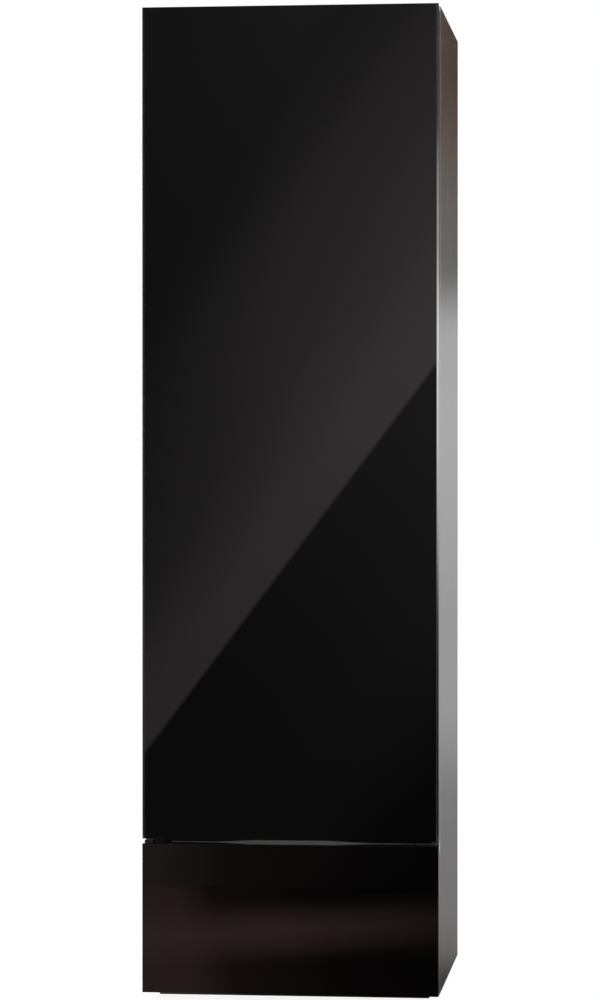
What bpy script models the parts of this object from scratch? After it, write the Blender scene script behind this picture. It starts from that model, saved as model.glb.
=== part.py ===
"""Clothes drying cabinet with a tall glass door above a glass-fronted tank drawer.

Lengths are metres, +Z is up and the glass faces -Y. The origin lies on the floor under the
middle of the cabinet. A heat pump in the lower bay dries the air of the chamber above it.
"""

import math

import bmesh
import bpy
from mathutils import Matrix, Vector

MM = 0.001

# Whole cabinet
CABINET_WIDTH = 595 * MM
CABINET_DEPTH = 620 * MM
CABINET_HEIGHT = 1990 * MM

# Clearances and facets
FIT = 0.3 * MM
RUN_CLEARANCE = 0.4 * MM
OVERLAP = 1.0 * MM
WELD = 0.003 * MM
ROUND_SIDES = 24
ROD_SIDES = 12
BEND_STEPS = 5
EAR_STEPS = 6
DOME_STEPS = 4
SHARP_ANGLE = math.radians(35)

# Steel casing
CASING_SHEET = 1.2 * MM
CASING_RETURN = 16 * MM
CASING_LIFT = 17 * MM
TOP_LIP = 22 * MM
REAR_PANEL_INSET = 4 * MM
REAR_PANEL_DROP = 12 * MM
WALL_SPACER = 12 * MM
SPACER_RADIUS = 14 * MM
SPACER_INSET = 60 * MM
SPACER_LIFT = 268 * MM

# Rear vents, in two fields beside the fan
VENT_LENGTH = 110 * MM
VENT_WIDTH = 5 * MM
VENT_PITCH = 15 * MM
VENT_ROWS = 8
VENT_CENTRE = 190 * MM
VENT_BOTTOM = 165 * MM

# Base, plinth and feet
BASE_LIFT = 32 * MM
BASE_SHEET = 2 * MM
BASE_FLANGE = 24 * MM
PLINTH_INSET = 24.5 * MM
PLINTH_RECESS = 74 * MM
PLINTH_WALL = 8 * MM
PLINTH_LIFT = 3 * MM
PLINTH_REAR_GAP = 40 * MM
FOOT_RADIUS = 20 * MM
FOOT_PAD = 8 * MM
FOOT_NECK_RADIUS = 10 * MM
FOOT_STEM_RADIUS = 5 * MM
FOOT_STEM_RISE = 12 * MM
FOOT_INSET = 70 * MM
FOOT_FRONT_INSET = 45 * MM
FOOT_REAR_INSET = 60 * MM

# Fronts
GLASS_THICKNESS = 5 * MM
GLASS_BEVEL = 2 * MM
DOOR_THICKNESS = 45 * MM
DOOR_GAP = 5 * MM
DRAWER_FRONT_HEIGHT = 299 * MM
FRONT_GAP = 9 * MM
FRONT_WALL = 2.5 * MM
DOOR_GRIP = 20 * MM
DRAWER_GRIP = 16 * MM
INNER_PANEL = 3 * MM
INNER_PANEL_RAISE = 14 * MM
INNER_PANEL_MARGIN = 36 * MM
GASKET_WIDTH = 14 * MM
GASKET_EDGE = 3 * MM

# Door hinges
HINGE_INSET = 12 * MM
HINGE_BACK = 22 * MM
HINGE_PLATE = 3 * MM
HINGE_ARM = 36 * MM
HINGE_REACH = 60 * MM
HINGE_LEG = 20 * MM
HINGE_POCKET = 12 * MM
HINGE_CLEARANCE = 1.5 * MM
EAR_RADIUS = 10 * MM
PIN_RADIUS = 4 * MM
PIN_COLLAR_RADIUS = 7 * MM
PIN_GRIP = 22 * MM
PIN_HEAD = 2 * MM
BUSH_WALL = 3 * MM
BUSH_FLANGE = 1.2 * MM
BUSH_FLANGE_RADIUS = 10 * MM

# Front frame
POST_WIDTH = 34 * MM
POST_SHEET = 2 * MM
FRAME_DEPTH = 30 * MM
HEADER_HEIGHT = 24 * MM
SILL_HEIGHT = 22 * MM
CROSS_RAIL_DROP = 20 * MM

# Drying chamber
LINER_SHEET = 1.5 * MM
CHAMBER_DEPTH = 440 * MM
FLOOR_SHEET = 4 * MM
DIFFUSER_SLOT_LENGTH = 70 * MM
DIFFUSER_SLOT_WIDTH = 8 * MM
DIFFUSER_PITCH = 46 * MM
DIFFUSER_ROWS = 26
DIFFUSER_TOP_MARGIN = 90 * MM
DUCT_WIDTH = 200 * MM
DUCT_DEPTH = 66 * MM
DUCT_WALL = 1.5 * MM
DUCT_TOP_MARGIN = 40 * MM
LAMP_LENGTH = 300 * MM
LAMP_WIDTH = 34 * MM
LAMP_HEIGHT = 12 * MM
LAMP_FLANGE = 4 * MM
LAMP_SETBACK = 18 * MM

# Hanging rail and folding racks
RAIL_RADIUS = 12.5 * MM
RAIL_DROP = 75 * MM
RAIL_FLANGE_RADIUS = 24 * MM
RAIL_FLANGE = 6 * MM
RACK_ROD_RADIUS = 4 * MM
RACK_BAR_RADIUS = 3 * MM
RACK_DEPTH = 395 * MM
RACK_SETBACK = 24 * MM
RACK_SIDE_GAP = 16 * MM
RACK_CORNER = 24 * MM
RACK_BARS = 9
DRYING_RACK_HEIGHT = 1190 * MM
SHOE_RACK_HEIGHT = 600 * MM
SOCKET_RADIUS = 10 * MM
SOCKET_DEPTH = 9 * MM
SOCKET_FLOOR = 2 * MM
PEG_RADIUS = 5 * MM
PEG_LENGTH = 26 * MM
PEG_SETBACK = 60 * MM

# Controls behind the door
FASCIA_HEIGHT = 56 * MM
FASCIA_SHEET = 2.5 * MM
FASCIA_RECESS = 22 * MM
KNOB_RADIUS = 19 * MM
KNOB_DEPTH = 14 * MM
KNOB_RIM = 2.4 * MM
KNOB_OFFSET = 70 * MM
SHAFT_RADIUS = 3 * MM
SHAFT_LENGTH = 12 * MM
BUTTON_RADIUS = 9 * MM
BUTTON_PROUD = 5 * MM
BUTTON_TRAVEL = 2 * MM
BUTTON_FLANGE = 2 * MM
BUTTON_FLANGE_MARGIN = 2 * MM
BOARD_LENGTH = 260 * MM
BOARD_DEPTH = 120 * MM
BOARD_HEIGHT = 36 * MM

# Lint filter in the chamber floor
FILTER_LENGTH = 280 * MM
FILTER_WIDTH = 90 * MM
FILTER_DEPTH = 40 * MM
FILTER_WALL = 3 * MM
FILTER_FLANGE = 8 * MM
FILTER_FLANGE_SHEET = 3 * MM
FILTER_SETBACK = 40 * MM
FILTER_SLOTS = 7
FILTER_SLOT_SHARE = 0.6
FILTER_GRIP_WIDTH = 24 * MM
FILTER_GAP = 0.8 * MM
FILTER_HOUSING_WALL = 2 * MM
FILTER_HOUSING_DEPTH = 80 * MM
FILTER_HOUSING_MARGIN = 8 * MM

# Heat pump in the lower bay
COIL_WIDTH = 190 * MM
COIL_DEPTH = 70 * MM
COIL_HEIGHT = 230 * MM
COIL_PLATE = 4 * MM
COIL_FINS = 15
COIL_FIN = 2 * MM
COIL_GAP = 14 * MM
COIL_SETBACK = 34 * MM
SPIGOT_RADIUS = 6 * MM
SPIGOT_LENGTH = 12 * MM
DRIP_WALL = 2 * MM
DRIP_HEIGHT = 20 * MM
DRIP_MARGIN = 8 * MM
COMPRESSOR_RADIUS = 58 * MM
COMPRESSOR_HEIGHT = 190 * MM
COMPRESSOR_DOME = 28 * MM
COMPRESSOR_FOOT = 140 * MM
COMPRESSOR_FOOT_SHEET = 4 * MM
COMPRESSOR_SETBACK = 10 * MM
COMPRESSOR_GAP = 14 * MM
STUB_SPREAD = 26 * MM
STUB_RISE = 10 * MM
PIPE_RADIUS = 5 * MM
PIPE_BEND = 14 * MM

# Fan behind the condenser
FAN_HOUSING_TOP = 310 * MM
FAN_HEIGHT = 165 * MM
FAN_INLET_RADIUS = 56 * MM
FAN_RADIUS = 84 * MM
FAN_WIDTH = 44 * MM
FAN_PLATE = 3 * MM
FAN_FRONT_GAP = 5 * MM
FAN_BLADES = 18
FAN_BLADE = 2 * MM
FAN_BLADE_TILT = 35
MOTOR_RADIUS = 30 * MM
MOTOR_LENGTH = 40 * MM
ROTOR_WALL = 3 * MM
ROTOR_GAP = 2 * MM
FAN_SHAFT_RADIUS = 4 * MM

# Mains inlet
INLET_WIDTH = 48 * MM
INLET_HEIGHT = 28 * MM
INLET_DEPTH = 24 * MM
INLET_PLATE_WIDTH = 142 * MM
INLET_PLATE_HEIGHT = 118 * MM
INLET_PLATE_LAP = 8 * MM
INLET_FLANGE_SHEET = 3 * MM
INLET_WALL = 4 * MM
INLET_OFFSET = 210 * MM
INLET_LIFT = 74 * MM

# Tank drawer and its runners
DRAWER_TRAVEL = 210 * MM
BOX_DEPTH = 222 * MM
BOX_LIFT = 8 * MM
BOX_HEIGHT = 140 * MM
BOX_WALL = 2 * MM
RUNNER_SHEET = 2 * MM
RUNNER_REACH = 14 * MM
RUNNER_HEIGHT = 46 * MM
RUNNER_RISE = 64 * MM
RUNNER_FOOT = 22 * MM
RUNNER_LENGTH = 272 * MM
MIDDLE_LENGTH = 205 * MM
MIDDLE_PROUD = 6 * MM
TANK_GAP = 4 * MM
TANK_HEIGHT = 120 * MM
TANK_WALL = 2.5 * MM
LID_SHEET = 3 * MM
LID_RIM = 8 * MM
SPOUT_RADIUS = 16 * MM

# Finishes: colour, metallic value and roughness
FINISHES = {
    "black_glass": ((0.010, 0.009, 0.010), 0.0, 0.05),
    "brushed_steel": ((0.40, 0.40, 0.41), 1.0, 0.32),
    "dark_metal": ((0.05, 0.05, 0.055), 0.9, 0.40),
    "galvanised_steel": ((0.45, 0.47, 0.48), 1.0, 0.45),
    "white_plastic": ((0.78, 0.79, 0.79), 0.0, 0.35),
    "chrome": ((0.75, 0.76, 0.78), 1.0, 0.12),
    "black_plastic": ((0.020, 0.020, 0.022), 0.0, 0.45),
    "grey_plastic": ((0.33, 0.34, 0.35), 0.0, 0.45),
    "tank_plastic": ((0.55, 0.62, 0.66), 0.0, 0.30),
    "grey_rubber": ((0.12, 0.12, 0.125), 0.0, 0.75),
    "lamp_lens": ((0.85, 0.86, 0.84), 0.0, 0.25),
    "copper": ((0.72, 0.33, 0.18), 1.0, 0.30),
    "aluminium": ((0.62, 0.63, 0.64), 1.0, 0.38),
}

# Places that several pieces share
half_width = CABINET_WIDTH / 2
glass_front = -CABINET_DEPTH / 2
glass_back = glass_front + GLASS_THICKNESS
shell_front = glass_back + FIT
door_back = glass_front + DOOR_THICKNESS
body_front = door_back + DOOR_GAP
body_rear = CABINET_DEPTH / 2 - WALL_SPACER
rear_inside = body_rear - CASING_SHEET - FIT
inner_half = half_width - CASING_SHEET - FIT

drawer_bottom = CASING_LIFT
drawer_top = drawer_bottom + DRAWER_FRONT_HEIGHT
door_bottom = drawer_top + FRONT_GAP
door_top = CABINET_HEIGHT
door_left = -half_width + DOOR_GRIP

frame_front = body_front + CASING_SHEET + FIT
frame_back = frame_front + FRAME_DEPTH
pocket_floor = door_top - HINGE_POCKET
hinge_plate_bottom = pocket_floor + FIT + BUSH_FLANGE + HINGE_CLEARANCE
frame_top = hinge_plate_bottom - FIT
header_bottom = frame_top - HEADER_HEIGHT
fascia_top = header_bottom - FIT
fascia_bottom = fascia_top - FASCIA_HEIGHT
fascia_front = frame_front + FASCIA_RECESS

board_front = fascia_front + FASCIA_SHEET + SHAFT_LENGTH + BUTTON_FLANGE + BUTTON_TRAVEL
board_back = board_front + BOARD_DEPTH
lamp_front = board_back + LAMP_SETBACK

chamber_half = inner_half - POST_WIDTH
chamber_bottom = door_bottom + SILL_HEIGHT
chamber_top = fascia_bottom - FIT
chamber_front = frame_back + FIT
chamber_back = chamber_front + CHAMBER_DEPTH
floor_bottom = chamber_bottom - FLOOR_SHEET
base_top = BASE_LIFT + BASE_SHEET
base_rim = BASE_LIFT + BASE_FLANGE

pivot_x = half_width - HINGE_INSET
pivot_y = door_back - HINGE_BACK

rack_pivot_y = chamber_back - RACK_SETBACK
rack_half = chamber_half - RACK_SIDE_GAP
rack_front = rack_pivot_y - RACK_DEPTH

duct_front = chamber_back + LINER_SHEET + FIT
duct_back = duct_front + DUCT_DEPTH
fan_front = duct_front + DUCT_WALL + FAN_FRONT_GAP
motor_back = duct_back - DUCT_WALL - FIT
motor_front = motor_back - MOTOR_LENGTH

box_front = door_back + FIT
box_back = box_front + BOX_DEPTH
box_bottom = base_rim + BOX_LIFT
runner_front = chamber_front + BASE_SHEET + FIT
runner_back = runner_front + RUNNER_LENGTH
runner_bottom = base_top + RUNNER_RISE
runner_top = runner_bottom + RUNNER_HEIGHT
middle_outer = chamber_half - RUNNER_SHEET - RUN_CLEARANCE
middle_lip = chamber_half - RUNNER_REACH - MIDDLE_PROUD
middle_bottom = runner_bottom + RUNNER_SHEET + RUN_CLEARANCE
middle_top = runner_top - RUNNER_SHEET - RUN_CLEARANCE
box_half = middle_lip - RUN_CLEARANCE
tank_bottom = box_bottom + BOX_WALL + FIT
tank_half = box_half - BOX_WALL - TANK_GAP
tank_front = box_front + BOX_WALL + TANK_GAP
tank_back = box_back - BOX_WALL - TANK_GAP

filter_front = chamber_front + FILTER_SETBACK
filter_back = filter_front + FILTER_WIDTH
coil_front = box_back + COIL_SETBACK
coil_bottom = base_top + FIT + DRIP_WALL + FIT
coil_pipe_height = coil_bottom + COIL_HEIGHT - 2 * SPIGOT_RADIUS - COIL_PLATE
condenser_front = coil_front + COIL_DEPTH + COIL_GAP
condenser_back = condenser_front + COIL_DEPTH
compressor_x = -COIL_WIDTH / 2 - DRIP_MARGIN - DRIP_WALL - COMPRESSOR_GAP - COMPRESSOR_FOOT / 2
compressor_y = runner_back + COMPRESSOR_SETBACK + COMPRESSOR_FOOT / 2
stub_top = base_top + FIT + COMPRESSOR_FOOT_SHEET + COMPRESSOR_HEIGHT + STUB_RISE

AXIS_TURN = {
    "X": Matrix.Rotation(math.pi / 2, 4, "Y"),
    "Y": Matrix.Rotation(-math.pi / 2, 4, "X"),
    "Z": Matrix.Identity(4),
}


def clear_scene():
    for obj in list(bpy.data.objects):
        bpy.data.objects.remove(obj)


def material(finish):
    """The material of a finish, made on first use."""
    found = bpy.data.materials.get(finish)
    if found:
        return found
    colour, metallic, roughness = FINISHES[finish]
    made = bpy.data.materials.new(finish)
    made.use_nodes = True
    shader = made.node_tree.nodes["Principled BSDF"]
    shader.inputs["Base Color"].default_value = (*colour, 1)
    shader.inputs["Metallic"].default_value = metallic
    shader.inputs["Roughness"].default_value = roughness
    return made


def add_object(name, bm, origin, finish=None):
    """Links a mesh that was drawn in world space, with its origin moved to a given point."""
    bmesh.ops.recalc_face_normals(bm, faces=bm.faces)
    bmesh.ops.translate(bm, verts=bm.verts, vec=-Vector(origin))
    mesh = bpy.data.meshes.new(name)
    bm.to_mesh(mesh)
    bm.free()
    mesh.shade_smooth()
    mesh.set_sharp_from_angle(angle=SHARP_ANGLE)
    if finish:
        mesh.materials.append(material(finish))
    obj = bpy.data.objects.new(name, mesh)
    obj.location = origin
    bpy.context.scene.collection.objects.link(obj)
    return obj


def draw_block(bm, low, high):
    low = Vector(low)
    high = Vector(high)
    size = Matrix.Diagonal((*(high - low), 1))
    bmesh.ops.create_cube(bm, size=1, matrix=Matrix.Translation((low + high) / 2) @ size)


def draw_rod(bm, axis, through, span, radius, sides=ROUND_SIDES):
    """A round bar along a world axis, through a point, between two places on that axis."""
    start, end = sorted(span)
    middle = Vector(through)
    middle["XYZ".index(axis)] = (start + end) / 2
    place = Matrix.Translation(middle) @ AXIS_TURN[axis]
    bmesh.ops.create_cone(
        bm, cap_ends=True, segments=sides, radius1=radius, radius2=radius,
        depth=end - start, matrix=place,
    )


def block(name, low, high, finish=None, origin=None):
    bm = bmesh.new()
    draw_block(bm, low, high)
    return add_object(name, bm, origin or (Vector(low) + Vector(high)) / 2, finish)


def blocks(name, corners, finish=None):
    """Several blocks in one mesh, for joining to or cutting from a piece."""
    bm = bmesh.new()
    for low, high in corners:
        draw_block(bm, low, high)
    return add_object(name, bm, (0, 0, 0), finish)


def rod(name, axis, through, span, radius, finish=None, sides=ROUND_SIDES):
    bm = bmesh.new()
    draw_rod(bm, axis, through, span, radius, sides)
    return add_object(name, bm, through, finish)


def rods(name, bars, sides=ROUND_SIDES):
    """Several round bars in one mesh. Each bar is an axis, a point, a span and a radius."""
    bm = bmesh.new()
    for axis, through, span, radius in bars:
        draw_rod(bm, axis, through, span, radius, sides)
    return add_object(name, bm, (0, 0, 0))


def prism(name, outline, axis, span, finish=None, origin=(0, 0, 0)):
    """Extrudes a flat outline along an axis. Its points hold the two other axes, in order."""
    index = "XYZ".index(axis)
    start, end = sorted(span)
    bm = bmesh.new()
    corners = [list(point[:index]) + [start] + list(point[index:]) for point in outline]
    face = bm.faces.new([bm.verts.new(corner) for corner in corners])
    swept = bmesh.ops.extrude_face_region(bm, geom=[face])
    moved = [item for item in swept["geom"] if isinstance(item, bmesh.types.BMVert)]
    step = Vector((0, 0, 0))
    step[index] = end - start
    bmesh.ops.translate(bm, verts=moved, vec=step)
    return add_object(name, bm, origin, finish)


def turned(name, profile, foot, axis="Z", finish=None, closed=False, sides=ROUND_SIDES):
    """Turns (radius, height) points about an axis. A closed profile makes a ring."""
    bm = bmesh.new()
    verts = [bm.verts.new((radius, 0, height)) for radius, height in profile]
    ends = verts[1:] + verts[:1] if closed else verts[1:]
    edges = [bm.edges.new(pair) for pair in zip(verts, ends)]
    bmesh.ops.spin(
        bm, geom=verts + edges, axis=(0, 0, 1), cent=(0, 0, 0), steps=sides, angle=math.tau,
        use_merge=True,
    )
    bmesh.ops.remove_doubles(bm, verts=bm.verts, dist=WELD)
    place = Matrix.Translation(foot) @ AXIS_TURN[axis]
    bmesh.ops.transform(bm, matrix=place, verts=bm.verts)
    return add_object(name, bm, foot, finish)


def rounded_path(corners, radius, steps=BEND_STEPS):
    """The corner points of a bent rod, with an arc at each corner between straight runs."""
    corners = [Vector(corner) for corner in corners]
    path = [corners[0]]
    for before, corner, after in zip(corners, corners[1:], corners[2:]):
        to_before = (before - corner).normalized()
        to_after = (after - corner).normalized()
        half_angle = to_before.angle(to_after) / 2
        reach = radius / math.tan(half_angle)
        centre = corner + (to_before + to_after).normalized() * radius / math.sin(half_angle)
        start = (corner + to_before * reach - centre).normalized()
        end = (corner + to_after * reach - centre).normalized()
        path += [centre + radius * start.slerp(end, step / steps) for step in range(steps + 1)]
    path.append(corners[-1])
    return path


def tube(name, corners, radius, bend, finish=None, origin=(0, 0, 0), sides=ROD_SIDES):
    """A round rod along straight runs joined by bends, closed at both ends."""
    path = rounded_path(corners, bend)
    bm = bmesh.new()
    rings = []
    side = (path[1] - path[0]).orthogonal().normalized()
    for index, point in enumerate(path):
        before = path[max(index - 1, 0)]
        after = path[min(index + 1, len(path) - 1)]
        along = (after - before).normalized()
        side = (side - along * side.dot(along)).normalized()
        up = along.cross(side)
        angles = [math.tau * step / sides for step in range(sides)]
        ring = [point + radius * (side * math.cos(a) + up * math.sin(a)) for a in angles]
        rings.append([bm.verts.new(place) for place in ring])
    for first, second in zip(rings, rings[1:]):
        for step in range(sides):
            after = (step + 1) % sides
            bm.faces.new((first[step], first[after], second[after], second[step]))
    bm.faces.new(rings[0])
    bm.faces.new(rings[-1])
    return add_object(name, bm, origin, finish)


def combine(piece, operation, tools):
    for tool in tools:
        tool.hide_render = True
        tool.display_type = "WIRE"
        tool.parent = piece
        tool.location -= piece.location
        modifier = piece.modifiers.new(tool.name, "BOOLEAN")
        modifier.operation = operation
        modifier.solver = "EXACT"
        modifier.object = tool


def cut(piece, *tools):
    combine(piece, "DIFFERENCE", tools)


def fuse(piece, *tools):
    combine(piece, "UNION", tools)


def bevel(piece, width, segments=1):
    modifier = piece.modifiers.new("edges", "BEVEL")
    modifier.width = width
    modifier.segments = segments
    modifier.limit_method = "ANGLE"
    modifier.angle_limit = SHARP_ANGLE


def axis_empty(name, place):
    """An empty on a joint's axis, which the pieces of a moving body hang from."""
    empty = bpy.data.objects.new(name, None)
    empty.location = place
    empty.empty_display_size = FOOT_RADIUS
    bpy.context.scene.collection.objects.link(empty)
    return empty


def hang(empty, *pieces):
    for piece in pieces:
        piece.parent = empty
        piece.location -= empty.location


def side_name(stem, side):
    return stem + ("_right" if side > 0 else "_left")


def foot_places():
    """The name and place of each levelling foot."""
    x = half_width - FOOT_INSET
    rows = {
        "front": glass_front + PLINTH_RECESS + FOOT_FRONT_INSET,
        "rear": body_rear - FOOT_REAR_INSET,
    }
    for row, y in rows.items():
        for side in (-1, 1):
            yield side_name("foot_" + row, side), (side * x, y, 0)


def make_base():
    low = Vector((-inner_half, chamber_front, BASE_LIFT))
    high = Vector((inner_half, rear_inside, base_rim))
    wall = Vector((BASE_SHEET, BASE_SHEET, BASE_SHEET))
    base = block("base_tray", low, high, "galvanised_steel")
    pocket_top = high - wall + Vector((0, 0, 2 * BASE_SHEET))
    cut(base, block("base_tray.pocket", low + wall, pocket_top))
    span = (BASE_LIFT - OVERLAP, base_top + OVERLAP)
    radius = FOOT_STEM_RADIUS + RUN_CLEARANCE
    cut(base, rods("base_tray.holes", [("Z", foot, span, radius) for _, foot in foot_places()]))


def make_plinth():
    outer = half_width - PLINTH_INSET
    inner = outer - PLINTH_WALL
    front = glass_front + PLINTH_RECESS
    back = body_rear - PLINTH_REAR_GAP
    right = [(outer, back), (inner, back), (inner, front + PLINTH_WALL)]
    left = [(-x, y) for x, y in reversed(right)]
    outline = [(-outer, front), (outer, front), *right, *left]
    prism("plinth", outline, "Z", (PLINTH_LIFT, BASE_LIFT - FIT), "black_plastic")


def make_feet():
    neck_top = BASE_LIFT - FIT
    stem_top = base_top + FOOT_STEM_RISE
    profile = [
        (0, 0), (FOOT_RADIUS, 0), (FOOT_RADIUS, FOOT_PAD),
        (FOOT_NECK_RADIUS, FOOT_PAD + FOOT_NECK_RADIUS / 2), (FOOT_NECK_RADIUS, neck_top),
        (FOOT_STEM_RADIUS, neck_top), (FOOT_STEM_RADIUS, stem_top), (0, stem_top),
    ]
    for name, place in foot_places():
        turned(name, profile, place, finish="black_plastic")


def make_side_panels():
    inner = half_width - CASING_SHEET
    lip = half_width - CASING_RETURN
    outline = [
        (half_width, body_front), (half_width, body_rear), (lip, body_rear),
        (lip, body_rear - CASING_SHEET), (inner, body_rear - CASING_SHEET),
        (inner, body_front + CASING_SHEET), (lip, body_front + CASING_SHEET), (lip, body_front),
    ]
    span = (CASING_LIFT, CABINET_HEIGHT - CASING_SHEET - FIT)
    for side in (-1, 1):
        mirrored = [(side * x, y) for x, y in outline]
        prism(side_name("side_panel", side), mirrored, "Z", span, "brushed_steel")


def make_top_panel():
    top = block(
        "top_panel", (-half_width, body_front, CABINET_HEIGHT - CASING_SHEET),
        (half_width, body_rear, CABINET_HEIGHT), "brushed_steel",
    )
    lip_top = CABINET_HEIGHT - CASING_SHEET / 2
    lips = []
    for side in (-1, 1):
        x = sorted((side * inner_half, side * (inner_half - CASING_SHEET)))
        low = (x[0], chamber_front, CABINET_HEIGHT - TOP_LIP)
        lips.append((low, (x[1], rear_inside, lip_top)))
    fuse(top, blocks("top_panel.lips", lips))


def inlet_centre():
    return Vector((-INLET_OFFSET, body_rear + FIT, BASE_LIFT + INLET_LIFT))


def inlet_plate():
    """The lower left corner and the upper right corner of the inlet's plate, in X and Z."""
    low = Vector((REAR_PANEL_INSET - half_width, BASE_LIFT))
    return low, low + Vector((INLET_PLATE_WIDTH, INLET_PLATE_HEIGHT))


def make_rear_panel():
    half = half_width - REAR_PANEL_INSET
    front = body_rear + FIT
    back = front + CASING_SHEET
    top = CABINET_HEIGHT - REAR_PANEL_DROP
    panel = block("rear_panel", (-half, front, BASE_LIFT), (half, back, top), "galvanised_steel")
    spacers = []
    for x in (-half + SPACER_INSET, half - SPACER_INSET):
        for z in (BASE_LIFT + SPACER_LIFT, top - SPACER_INSET):
            span = (front + CASING_SHEET / 2, CABINET_DEPTH / 2)
            spacers.append(("Y", (x, front, z), span, SPACER_RADIUS))
    fuse(panel, rods("rear_panel.spacers", spacers))
    slots = []
    for x in (-VENT_CENTRE, VENT_CENTRE):
        for row in range(VENT_ROWS):
            z = VENT_BOTTOM + row * VENT_PITCH
            low = (x - VENT_LENGTH / 2, front - OVERLAP, z)
            slots.append((low, (x + VENT_LENGTH / 2, back + OVERLAP, z + VENT_WIDTH)))
    cut(panel, blocks("rear_panel.vents", slots))
    plate_high = inlet_plate()[1] - Vector((INLET_PLATE_LAP, INLET_PLATE_LAP))
    low = (-half - OVERLAP, front - OVERLAP, BASE_LIFT - OVERLAP)
    cut(panel, block("rear_panel.inlet_notch", low, (plate_high.x, back + OVERLAP, plate_high.y)))


def make_mains_inlet():
    centre = inlet_centre()
    flange_front = body_rear + 2 * FIT + CASING_SHEET
    flange_back = flange_front + INLET_FLANGE_SHEET
    plate_low, plate_high = inlet_plate()
    low = (plate_low.x, flange_front, plate_low.y)
    inlet = block("mains_inlet", low, (plate_high.x, flange_back, plate_high.y), "black_plastic")
    body = Vector((INLET_WIDTH / 2, 0, INLET_HEIGHT / 2))
    low = centre - body
    low.y = flange_back - INLET_DEPTH
    high = centre + body
    high.y = flange_front + INLET_FLANGE_SHEET / 2
    fuse(inlet, block("mains_inlet.body", low, high))
    wall = Vector((INLET_WALL, INLET_WALL, INLET_WALL))
    socket_high = high - wall
    socket_high.y = flange_back + OVERLAP
    cut(inlet, block("mains_inlet.socket", low + wall, socket_high))


def make_front_frame():
    """Two open-backed posts, with a header and a cross rail between them."""
    span = (BASE_LIFT, frame_top)
    wall = POST_SHEET
    for side in (-1, 1):
        outline = [
            (inner_half, frame_front), (inner_half, frame_back), (inner_half - wall, frame_back),
            (inner_half - wall, frame_front + wall), (chamber_half + wall, frame_front + wall),
            (chamber_half + wall, frame_back), (chamber_half, frame_back),
            (chamber_half, frame_front),
        ]
        mirrored = [(side * x, y) for x, y in outline]
        prism(side_name("front_post", side), mirrored, "Z", span, "galvanised_steel")
    reach = chamber_half - FIT
    heights = {
        "header_bar": (header_bottom, frame_top),
        "cross_rail": (drawer_top - CROSS_RAIL_DROP, chamber_bottom),
    }
    for name, (low, high) in heights.items():
        outline = [
            (frame_front, low), (frame_back, low), (frame_back, low + wall),
            (frame_front + wall, low + wall), (frame_front + wall, high - wall),
            (frame_back, high - wall), (frame_back, high), (frame_front, high),
        ]
        prism(name, outline, "X", (-reach, reach), "brushed_steel")


def rack_heights():
    return (DRYING_RACK_HEIGHT, SHOE_RACK_HEIGHT)


def make_chamber_sides():
    """Liner walls with a socket for each rack's pivot and a peg that the rack lies on."""
    outside = chamber_half + LINER_SHEET
    middle = chamber_half + LINER_SHEET / 2
    peg_y = rack_front + PEG_SETBACK
    for side in (-1, 1):
        x = sorted((side * chamber_half, side * outside))
        name = side_name("chamber_side", side)
        low = (x[0], chamber_front, chamber_bottom + FIT)
        high = (x[1], chamber_back - FIT, chamber_top - FIT)
        wall = block(name, low, high, "white_plastic")
        bosses = []
        bores = []
        for height in rack_heights():
            pivot = (0, rack_pivot_y, height)
            bosses.append(("X", pivot, (side * middle, side * (outside + SOCKET_DEPTH)), SOCKET_RADIUS))
            peg = (0, peg_y, height - RACK_ROD_RADIUS - FIT - PEG_RADIUS)
            bosses.append(("X", peg, (side * middle, side * (chamber_half - PEG_LENGTH)), PEG_RADIUS))
            span = (side * (chamber_half - OVERLAP), side * (outside + SOCKET_DEPTH - SOCKET_FLOOR))
            bores.append(("X", pivot, span, RACK_ROD_RADIUS + RUN_CLEARANCE))
        fuse(wall, rods(name + ".bosses", bosses))
        cut(wall, rods(name + ".bores", bores))


def make_chamber_ceiling():
    outside = chamber_half + LINER_SHEET
    low = (-outside, chamber_front, chamber_top)
    high = (outside, chamber_back - FIT, chamber_top + LINER_SHEET)
    ceiling = block("chamber_ceiling", low, high, "white_plastic")
    reach = LAMP_LENGTH / 2 + FIT
    low = (-reach, lamp_front - FIT, chamber_top - OVERLAP)
    high = (reach, lamp_front + LAMP_WIDTH + FIT, chamber_top + LINER_SHEET + OVERLAP)
    cut(ceiling, block("chamber_ceiling.lamp_hole", low, high))


def make_chamber_lamp():
    back = lamp_front + LAMP_WIDTH
    rim = LAMP_FLANGE
    low = (-LAMP_LENGTH / 2 - rim, lamp_front - rim, chamber_top - FIT - LAMP_FLANGE)
    high = (LAMP_LENGTH / 2 + rim, back + rim, chamber_top - FIT)
    lamp = block("chamber_lamp", low, high, "lamp_lens")
    low = (-LAMP_LENGTH / 2, lamp_front, chamber_top - FIT - LAMP_FLANGE / 2)
    high = (LAMP_LENGTH / 2, back, chamber_top - FIT - LAMP_FLANGE + LAMP_HEIGHT)
    fuse(lamp, block("chamber_lamp.body", low, high))


def make_air_diffuser():
    """The rear wall of the chamber, with warm-air slots in front of the duct."""
    outside = chamber_half + LINER_SHEET
    back = chamber_back + LINER_SHEET
    low = (-outside, chamber_back, floor_bottom)
    high = (outside, back, chamber_top + LINER_SHEET)
    wall = block("air_diffuser", low, high, "white_plastic")
    slots = []
    for x in (-DUCT_WIDTH / 4, DUCT_WIDTH / 4):
        for row in range(DIFFUSER_ROWS):
            z = chamber_top - DIFFUSER_TOP_MARGIN - row * DIFFUSER_PITCH
            low = (x - DIFFUSER_SLOT_LENGTH / 2, chamber_back - OVERLAP, z)
            slots.append((low, (x + DIFFUSER_SLOT_LENGTH / 2, back + OVERLAP, z + DIFFUSER_SLOT_WIDTH)))
    cut(wall, blocks("air_diffuser.slots", slots))


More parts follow.
